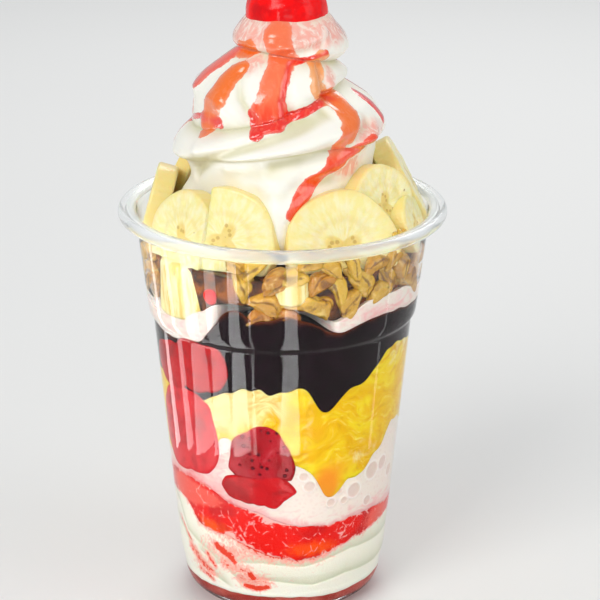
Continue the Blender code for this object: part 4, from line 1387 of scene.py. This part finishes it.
def make_nut(master, azimuth, radius, height, size, turn, tone, seed):
    """A copy of the walnut piece with its own curve, furrows, size and tilt."""
    nut = master.copy()
    nut.data = master.data.copy()
    bpy.context.collection.objects.link(nut)
    start = corners_of(nut)
    unit = start * 2.0
    along = unit[:, 0]
    around = np.arctan2(unit[:, 2], unit[:, 1])
    furrow = np.abs(np.cos(1.5 * around + 0.5 * np.sin(2.0 * along + seed) + seed))
    dent = np.exp(-((furrow / 0.28) ** 2)) * np.clip(1.15 - along**2, 0, 1)
    cross = np.abs(waves(unit * np.array([1.0, 0.6, 0.6]), 0.9, seed + 900, 10))
    lobes = waves(unit, 1.7, seed, 8)
    swell = 1.0 + 0.17 * lobes - 0.13 * dent - 0.08 * np.exp(-((cross / 0.2) ** 2))
    taper = 1.0 + 0.16 * along - 0.12 * along**2
    shaped = start * swell[:, None]
    shaped[:, 1] *= taper
    shaped[:, 2] = shaped[:, 2] * taper - 0.3 * along**2
    set_corners(nut, shaped * np.array(size) * MM)
    # Painted shade for the walnut's material: darkest in the furrows and cross grooves, less on the
    # lobes.
    hollow_shade = dent + 0.5 * np.exp(-((cross / 0.2) ** 2)) - 0.15 * lobes
    paint(nut, "hollow_shade", np.clip(hollow_shade, 0, 1))
    paint(nut, "tone", np.full(len(start), tone))
    nut.data.transform(turn.to_matrix().to_4x4())
    placed = Matrix.Rotation(math.radians(azimuth), 4, "Z")
    nut.data.transform(Matrix.Translation(Vector(polar(azimuth, radius, height) * MM)) @ placed)
    press_to_wall(nut, 0.3)
    return nut


def make_nuts(settings):
    """Walnut pieces against the wall: the front ones in their places, the others in rows."""
    draw = np.random.default_rng(NUT_SEED)
    master = nut_shape()
    nuts = []
    for azimuth, height, length, width, tilt, tone in FRONT_NUTS:
        radius = float(wall_radius(height)) - width * 0.36
        turn = Euler((draw.uniform(-0.4, 0.4), math.radians(-tilt), draw.uniform(-0.15, 0.15)))
        size = (length, width, width * 0.92)
        nuts.append(make_nut(master, azimuth, radius, height, size, turn, tone, len(nuts) + 10))
    for level, count in NUT_ROWS:
        for number in range(count):
            azimuth = 360.0 * (number + draw.uniform(0.2, 0.8)) / count
            base = float(UPPER_CREAM_TOP(azimuth, 1.0))
            size = (draw.uniform(10.0, 14.0), draw.uniform(6, 7.5), draw.uniform(5.5, 7.0))
            height = max(level + draw.uniform(-1.0, 1.0), base + size[2] * 0.42)
            tilts = (draw.uniform(-0.5, 0.5), draw.uniform(-1.3, 1.3), draw.uniform(-0.3, 0.3))
            tone = draw.uniform(0.0, 0.8)
            shown = abs(turn_between(azimuth, NUT_FREE[0])) < NUT_FREE[1]
            if shown or height > HEAP_TOP + 2.0:
                continue
            radius = float(wall_radius(height)) - size[1] * draw.uniform(0.32, 0.42)
            seed = len(nuts) + 10
            nuts.append(make_nut(master, azimuth, radius, height, size, Euler(tilts), tone, seed))
    for azimuth, height, size in CRUMBS:
        radius = float(wall_radius(height)) - size * 0.5
        crumb = (size, size * 0.8, size * 0.7)
        nuts.append(make_nut(master, azimuth, radius, height, crumb, Euler(), 0.0, len(nuts) + 10))
    bpy.data.objects.remove(master, do_unlink=True)
    piece = join(nuts, "walnuts")
    select_only(piece)
    bpy.ops.object.shade_smooth()
    return piece


def make_nut_core(settings):
    """The dark syrup behind the nuts."""

    def top(azimuth, share):
        return HEAP_TOP - 1.0 + 0.5 * np.sin(np.radians(azimuth * 7)) * share

    def reach(azimuth):
        return np.full_like(azimuth, 0.945)

    return make_layer("nut_syrup", UPPER_CREAM_TOP, top, reach=reach, sides=20, steps=240)


def crease_heights(azimuth):
    """Heights of the creases between the swirl's tiers, its base and its top included."""
    side, front = np.sin(np.radians(azimuth)), np.cos(np.radians(azimuth))
    return np.stack([
        np.full_like(side, SWIRL_BASE),
        139.5 + 4.5 * front + 3.0 * side,
        154.0 + 7.0 * side + 0.5 * front,
        168.0 - 2.2 * side + 2.0 * front,
        np.full_like(side, SWIRL_TOP),
    ])


def run_share(azimuth, radius, height, line):
    """Distance in millimetres from a line of (azimuth, height) points over the swirl."""
    nearest = np.full(azimuth.shape, 1e3)
    for (first, top), (second, bottom) in zip(line, line[1:]):
        across = np.radians(turn_between(azimuth, first)) * radius
        up = height - top
        to_across = math.radians(second - first) * radius
        to_up = bottom - top
        along = np.clip((across * to_across + up * to_up) / (to_across**2 + to_up**2 + 1e-6), 0, 1)
        gap = np.hypot(across - along * to_across, up - along * to_up)
        nearest = np.minimum(nearest, gap)
    return nearest


def swirl_relief(azimuth, radius, height):
    """Relief of the sauce and of the soft grooves and swells in the folds."""
    sauce = np.zeros_like(height)
    for _, half_width, depth, *line in SAUCE_RUNS:
        share = run_share(azimuth, radius, height, line) / half_width
        sauce = np.maximum(sauce, depth * np.exp(-(share**4)))
    lines = np.zeros_like(height)
    for width, depth, *line in FOLD_LINES:
        share = run_share(azimuth, radius, height, line) / width
        lines += depth * np.exp(-(share**2))
    return sauce, lines


def swirl_spot(azimuth, tier, phase):
    """A point on the swirl: phase runs from 0 at a tier's lower crease to 1 at its upper one."""
    creases = crease_heights(azimuth)
    rows = np.arange(len(azimuth))
    low, high = creases[tier, rows], creases[tier + 1, rows]
    height = low + (high - low) * phase
    fold = np.sin(math.pi * np.clip(phase, 0, 1)) ** 0.75
    radius = line_value(CREASE_LINE, height)
    middle = np.where(tier > 0, line_value(SWIRL_MIDDLE, height), 0.0)
    base = SWIRL_BASE_RADIUS + (radius - SWIRL_BASE_RADIUS) * phase**8
    for centre, width, level, tall, depth in BASE_SWELLS:
        across = turn_between(azimuth, centre) / width
        base = base + depth * np.exp(-(across**2) - ((height - level) / tall) ** 4)
    height = np.where(tier > 0, height - SWIRL_DROOP * fold, height)
    radius = np.where(tier > 0, radius + SWIRL_FOLD_DEPTH * fold, base)
    sauce, lines = swirl_relief(azimuth, radius, height)
    points = polar(azimuth, radius + sauce + lines, height)
    points[:, 0] += middle
    return points, radius, height, fold, lines


def make_swirl(settings):
    """The soft-serve swirl with its folds, sauce runs and their painted colours."""
    counts = (34, 44, 46, 44)
    levels = [
        (tier, ring / count)
        for tier, count in reversed(list(enumerate(counts)))
        for ring in range(count - 1, -1, -1)
    ]
    tiers = np.array([0, *[tier for tier, _ in levels], 0, 0])
    phases = np.array([0.0, *[phase for _, phase in levels], 0.0, 0.0])
    rings = len(tiers) - 1
    kept = {}

    def place(azimuth, ring):
        points, radius, height, fold, lines = swirl_spot(azimuth, tiers[ring], phases[ring])
        points[ring == 0] = (float(line_value(SWIRL_MIDDLE, SWIRL_TOP)), 0.0, SWIRL_TOP - 0.5)
        inner = ring == rings - 1
        points[inner] = polar(azimuth[inner], 0.5 * SWIRL_BASE_RADIUS, SWIRL_BASE)
        points[ring == rings] = (0.0, 0.0, SWIRL_BASE)
        kept.update(azimuth=azimuth, radius=radius, height=height, fold=fold, lines=lines)
        kept["tier"] = tiers[ring]
        return points

    piece = shaped_sphere("swirl", settings.swirl_steps, rings, place)
    azimuth, radius, height = kept["azimuth"], kept["radius"], kept["height"]
    # Painted shade: the fold mark is darkest in the creases between the tiers and in the grooves of
    # the fold lines, with a shade spot at the front of the base.
    crease = np.where(kept["tier"] > 0, 1.0 - kept["fold"], 0.0) ** 1.5
    crease = 0.85 * crease + 0.5 * np.clip(-kept["lines"], 0, 1.4)
    crease += 0.5 * spot(azimuth, height, -14, 139, 16, 2.4)
    paint(piece, "fold", np.clip(crease, 0, 1))
    field = np.full(len(height), -1.0)
    colour = np.zeros((len(height), 4))
    weights = np.zeros(len(height))
    for tint, half_width, _, *line in SAUCE_RUNS:
        share = 1.0 - run_share(azimuth, radius, height, line) / half_width
        field = np.maximum(field, share)
        weight = np.clip(share + 0.35, 0.0, None) ** 4 + 1e-9
        colour += weight[:, None] * np.array(srgb(*tint))
        weights += weight
    paint(piece, "sauce", field)
    paint(piece, "sauce_colour", colour / weights[:, None])
    blush = np.zeros(len(height))
    for centre, level, wide, tall, strength in BLUSHES:
        blush = np.maximum(blush, strength * spot(azimuth, height, centre, level, wide, tall))
    paint(piece, "blush", blush)
    return piece


def make_cherry(settings):
    """The cherry: a ball, slightly flat, with the dimple of its missing stem on top."""
    rings = 96
    size = settings.cherry_radius
    depth, width = CHERRY_DIMPLE

    def place(azimuth, ring):
        angle = math.pi * ring / rings
        radius = size * np.sin(angle)
        dimple = np.where(ring < rings / 2, depth * np.exp(-((radius / width) ** 2)), 0.0)
        points = polar(azimuth, radius, size * np.cos(angle) - dimple)
        wrinkle = 1.0 + 0.006 * waves(points, 5.0, 5) + 0.004 * waves(points, 2.2, 6)
        return points * wrinkle[:, None] + np.array(CHERRY_PLACE)

    return shaped_sphere("cherry_fine", 144, rings, place)


def make_cherry_piece(settings):
    """A small piece of cherry, narrower below, that is pressed to the wall."""
    azimuth, radius, height = CHERRY_PIECE
    rings = 40

    def place(around, ring):
        angle = math.pi * ring / rings
        up = 0.5 * np.cos(angle)
        across = 0.5 * np.sin(angle) * (1.0 - 0.35 * np.abs(0.5 - up) ** 1.6)
        points = polar(around, across, up)
        lumps = 1.0 + 0.025 * waves(points * 20.0, 9.0, CHERRY_PIECE_SEED)
        return points * lumps[:, None] * CHERRY_PIECE_SIZE

    piece = shaped_sphere("cherry_piece_fine", 64, rings, place)
    piece.data.transform(Matrix.Translation(Vector(polar(azimuth, radius, height) * MM)))
    press_to_wall(piece)
    return piece


# Add-on


class ParfaitSettings(bpy.types.PropertyGroup):
    """Sizes, in millimetres, and colours that a user would change."""

    slice_thickness: FloatProperty(
        name="Slice thickness", description="Thickness of a banana slice, in mm", default=6.4
    )
    cherry_radius: FloatProperty(
        name="Cherry radius", description="Radius of the cherry, in mm", default=12.0
    )
    cup_steps: IntProperty(
        name="Cup steps", description="Steps round the cup's turned section", default=180
    )
    swirl_steps: IntProperty(
        name="Swirl steps", description="Steps round the swirl", default=384
    )
    cream: FloatVectorProperty(
        name="Soft serve", description="Colour of the soft serve", subtype="COLOR", size=4,
        default=srgb(253, 250, 238),
    )
    # Painted shade: the yellow-green colour that the soft serve is darkened to in the creases of
    # its folds.
    cream_fold_painted_shade: FloatVectorProperty(
        name="Painted shade in soft serve folds", description="Colour of the shade painted into the soft serve's folds",
        subtype="COLOR", size=4, default=srgb(218, 212, 172),
    )
    pink_cream: FloatVectorProperty(
        name="Pink ice cream", description="Colour of the pink ice cream", subtype="COLOR", size=4,
        default=srgb(246, 190, 186),
    )
    glaze: FloatVectorProperty(
        name="Glaze", description="Colour of the strawberry glaze", subtype="COLOR", size=4,
        default=srgb(238, 22, 12),
    )
    base_syrup: FloatVectorProperty(
        name="Base syrup", description="Colour of the syrup at the bottom", subtype="COLOR",
        size=4, default=srgb(178, 60, 52),
    )
    pineapple: FloatVectorProperty(
        name="Pineapple", description="Colour of the crushed pineapple", subtype="COLOR", size=4,
        default=srgb(242, 188, 6),
    )
    fudge: FloatVectorProperty(
        name="Fudge", description="Colour of the fudge", subtype="COLOR", size=4,
        default=srgb(20, 7, 12),
    )
    walnut: FloatVectorProperty(
        name="Walnut", description="Colour of the walnuts in syrup", subtype="COLOR", size=4,
        default=srgb(222, 178, 56),
    )
    banana: FloatVectorProperty(
        name="Banana", description="Colour of the banana's flesh", subtype="COLOR", size=4,
        default=srgb(252, 236, 158),
    )
    cherry: FloatVectorProperty(
        name="Cherry", description="Colour of the cherry", subtype="COLOR", size=4,
        default=srgb(255, 0, 2),
    )
    floor: FloatVectorProperty(
        name="Floor", description="Colour of the floor", subtype="COLOR", size=4,
        default=srgb(232, 231, 228),
    )


def settings_of(context):
    return context.scene.parfait


def build(context, *parts):
    """Makes piece after piece, each given by its maker, its material, its slot and its node; the
    slot is not used.
    """
    settings = settings_of(context)
    for make, look, slot, node in parts:
        finish_piece(make(settings), look(settings), node)
    return {"FINISHED"}


class PARFAIT_OT_cup(bpy.types.Operator):
    """Turns the clear cup with its step, flared rim and rolled bead"""

    bl_idname = "parfait.cup"
    bl_label = "Clear cup"

    def execute(self, context):
        cup, rim = make_cup(settings_of(context))
        finish_piece(cup, clear_plastic_look(), "cup")
        finish_piece(rim, frosted_rim_look(), "cup")
        return {"FINISHED"}


class PARFAIT_OT_lower_layers(bpy.types.Operator):
    """Makes the base syrup, the lower soft serve and the strawberry glaze"""

    bl_idname = "parfait.lower_layers"
    bl_label = "Lower layers"

    def execute(self, context):
        return build(
            context,
            (make_base_syrup, base_syrup_look, "base_syrup", "base_syrup"),
            (make_lower_cream, lower_cream_look, "soft_serve", "lower_soft_serve"),
            (make_glaze, glaze_look, "strawberry_glaze", "strawberry_glaze"),
        )


class PARFAIT_OT_middle_layers(bpy.types.Operator):
    """Makes the pink ice cream, the crushed pineapple and the hot fudge"""

    bl_idname = "parfait.middle_layers"
    bl_label = "Middle layers"

    def execute(self, context):
        return build(
            context,
            (make_pink_cream, pink_cream_look, "pink_ice_cream", "pink_ice_cream"),
            (make_pineapple, pineapple_look, "pineapple", "crushed_pineapple"),
            (make_fudge, fudge_look, "hot_fudge", "hot_fudge"),
        )


class PARFAIT_OT_upper_cream(bpy.types.Operator):
    """Makes the pink and white ice cream above the step"""

    bl_idname = "parfait.upper_cream"
    bl_label = "Upper ice cream"

    def execute(self, context):
        return build(
            context, (make_upper_cream, upper_cream_look, "pink_ice_cream", "upper_ice_cream")
        )


class PARFAIT_OT_strawberries(bpy.types.Operator):
    """Makes the strawberries that are pressed against the wall"""

    bl_idname = "parfait.strawberries"
    bl_label = "Strawberries"

    def execute(self, context):
        for name, (colour, seeds, _, _) in STRAWBERRIES.items():
            berry = make_strawberry(name)
            finish_piece(berry, strawberry_look(name, colour, seeds), name)
        return {"FINISHED"}


class PARFAIT_OT_walnuts(bpy.types.Operator):
    """Makes the walnut pieces and the dark syrup behind them"""

    bl_idname = "parfait.walnuts"
    bl_label = "Walnuts in syrup"

    def execute(self, context):
        return build(
            context,
            (make_nuts, walnut_look, "walnut", "walnut_heap"),
            (make_nut_core, dark_syrup_look, "walnut", "walnut_heap"),
        )


class PARFAIT_OT_bananas(bpy.types.Operator):
    """Makes the banana slices round the swirl and the lengths of banana by the wall"""

    bl_idname = "parfait.bananas"
    bl_label = "Bananas"

    def execute(self, context):
        settings = settings_of(context)
        look = banana_slice_look(settings)
        across = Vector(polar(SEAM_AZIMUTH + 90, 1.0, 0.0))
        for name in BANANA_SLICES:
            piece = make_banana_slice(name, settings)
            if name in ("banana_slice_left", "banana_slice_front_left"):
                side = 1.0 if name == "banana_slice_left" else -1.0
                cut_away(piece, across * (-side * 0.05 * MM), across * side)
            finish_piece(piece, look, name)
        chunk_look = banana_chunk_look(settings)
        for name in BANANA_CHUNKS:
            finish_piece(make_banana_chunk(name), chunk_look, name)
        return {"FINISHED"}


class PARFAIT_OT_swirl(bpy.types.Operator):
    """Makes the soft-serve swirl with the sauce that runs down it"""

    bl_idname = "parfait.swirl"
    bl_label = "Swirl and sauce"

    def execute(self, context):
        return build(context, (make_swirl, swirl_look, "soft_serve", "soft_serve_swirl"))


class PARFAIT_OT_cherries(bpy.types.Operator):
    """Makes the cherry on top and the small piece of cherry by the wall"""

    bl_idname = "parfait.cherries"
    bl_label = "Cherries"

    def execute(self, context):
        settings = settings_of(context)
        look = cherry_look(settings)
        finish_piece(make_cherry(settings), look, "cherry")
        finish_piece(make_cherry_piece(settings), look, "cherry_piece")
        return {"FINISHED"}


def add_light(name, place, target, size, power):
    """A soft rectangular light of (width, height) in metres that looks at a target."""
    data = bpy.data.lights.new(name, "AREA")
    data.shape = "RECTANGLE"
    data.size, data.size_y = size
    data.energy = power
    light = bpy.data.objects.new(name, data)
    bpy.context.scene.collection.objects.link(light)
    light.location = place
    aim = Vector(target) - Vector(place)
    light.rotation_euler = aim.to_track_quat("-Z", "Y").to_euler()
    light.visible_camera = False
    return light


# Upright bars that the wall mirrors: the azimuths between which each shows, and its radiance
WALL_BARS = (
    (-65.0, -62.0, 4.0), (-53.0, -50.0, 6.0), (-44.0, -36.0, 9.0), (-32.5, -26.0, 13.0),
    (-22.4, -17.0, 18.0), (-13.6, -12.6, 11.0), (0.6, 6.4, 16.0), (47.0, 48.2, 2.6),
)
BAR_HEIGHTS = (46.0, 116.0)


def mirrored_place(azimuth, height):
    """Where on the floor the wall at this spot mirrors the camera's view to."""
    spot_at = Vector(polar(azimuth, float(wall_radius(height)) + WALL, height)) * MM
    slope = float(wall_radius(height + 2.0) - wall_radius(height - 2.0)) / 4.0
    normal = Vector(polar(azimuth, 1.0, -slope)).normalized()
    sight = (spot_at - Vector(CAMERA_PLACE)).normalized()
    mirrored = sight - 2 * sight.dot(normal) * normal
    return spot_at + mirrored * (spot_at.z / -mirrored.z)


def add_bar_light(first, last, radiance):
    """A strip light on the floor that only shows in the cup's wall."""
    middle = (first + last) / 2
    low, high = (mirrored_place(middle, height) for height in BAR_HEIGHTS)
    along = high - low
    level = sum(BAR_HEIGHTS) / 2
    step = mirrored_place(last, level) - mirrored_place(first, level)
    width = step.cross(along.normalized()).length
    place = (low + high) / 2 + Vector((0, 0, MM))
    power = radiance * math.pi * width * along.length
    light = add_light("bar", place, place + Vector((0, 0, 1)), (width, along.length), power)
    light.rotation_euler = Euler((math.pi, 0.0, math.atan2(-along.x, along.y)))
    light.visible_diffuse = False
    light.visible_transmission = False


class PARFAIT_OT_stage(bpy.types.Operator):
    """Sets up the pale floor, the soft studio light and the camera"""

    bl_idname = "parfait.stage"
    bl_label = "Stage"

    def execute(self, context):
        settings = settings_of(context)
        deselect()
        bpy.ops.mesh.primitive_plane_add(size=6.0, location=(0, 0, 0))
        floor = rename(bpy.context.object, "floor")
        floor.data.materials.append(floor_look(settings))
        world = bpy.data.worlds.new("studio")
        world.use_nodes = True
        background = world.node_tree.nodes["Background"]
        background.inputs["Color"].default_value = (0.86, 0.89, 0.93, 1.0)
        background.inputs["Strength"].default_value = 0.6
        context.scene.world = world
        middle = (0.0, 0.0, 0.10)
        add_light("key", (-0.55, -0.75, 0.85), middle, (0.55, 0.55), 6.0)
        add_light("right_fill", (0.85, -0.35, 0.45), middle, (0.5, 0.7), 1.8)
        add_light("back", (0.15, 0.8, 0.7), middle, (0.7, 0.4), 3.0)
        add_light("front_fill", (0.12, -1.1, 0.25), middle, (0.5, 0.25), 0.9)
        for bar in WALL_BARS:
            add_bar_light(*bar)
        data = bpy.data.cameras.new("camera")
        data.lens = CAMERA_LENS
        data.shift_x = CAMERA_SHIFT
        data.clip_start = 0.01
        camera = bpy.data.objects.new("camera", data)
        context.scene.collection.objects.link(camera)
        camera.location = CAMERA_PLACE
        camera.rotation_euler = (math.radians(90 - CAMERA_PITCH), 0.0, 0.0)
        context.scene.camera = camera
        context.scene.view_settings.view_transform = "Standard"
        return {"FINISHED"}


STEPS = (
    PARFAIT_OT_stage, PARFAIT_OT_lower_layers, PARFAIT_OT_middle_layers, PARFAIT_OT_upper_cream,
    PARFAIT_OT_strawberries, PARFAIT_OT_walnuts, PARFAIT_OT_bananas, PARFAIT_OT_swirl,
    PARFAIT_OT_cherries, PARFAIT_OT_cup,
)


class PARFAIT_PT_panel(bpy.types.Panel):
    """Lists the parfait's steps and settings"""

    bl_label = "Parfait"
    bl_idname = "PARFAIT_PT_panel"
    bl_space_type = "VIEW_3D"
    bl_region_type = "UI"
    bl_category = "Parfait"

    def draw(self, context):
        for step in STEPS:
            self.layout.operator(step.bl_idname)
        settings = settings_of(context)
        for name in settings.bl_rna.properties.keys():
            if name not in ("rna_type", "name"):
                self.layout.prop(settings, name)


CLASSES = (ParfaitSettings, *STEPS, PARFAIT_PT_panel)


def register():
    for each in CLASSES:
        bpy.utils.register_class(each)
    bpy.types.Scene.parfait = PointerProperty(type=ParfaitSettings)


def unregister():
    del bpy.types.Scene.parfait
    for each in reversed(CLASSES):
        bpy.utils.unregister_class(each)


def main():
    register()
    for step in STEPS:
        group, name = step.bl_idname.split(".")
        getattr(getattr(bpy.ops, group), name)()


if __name__ == "__main__":
    main()
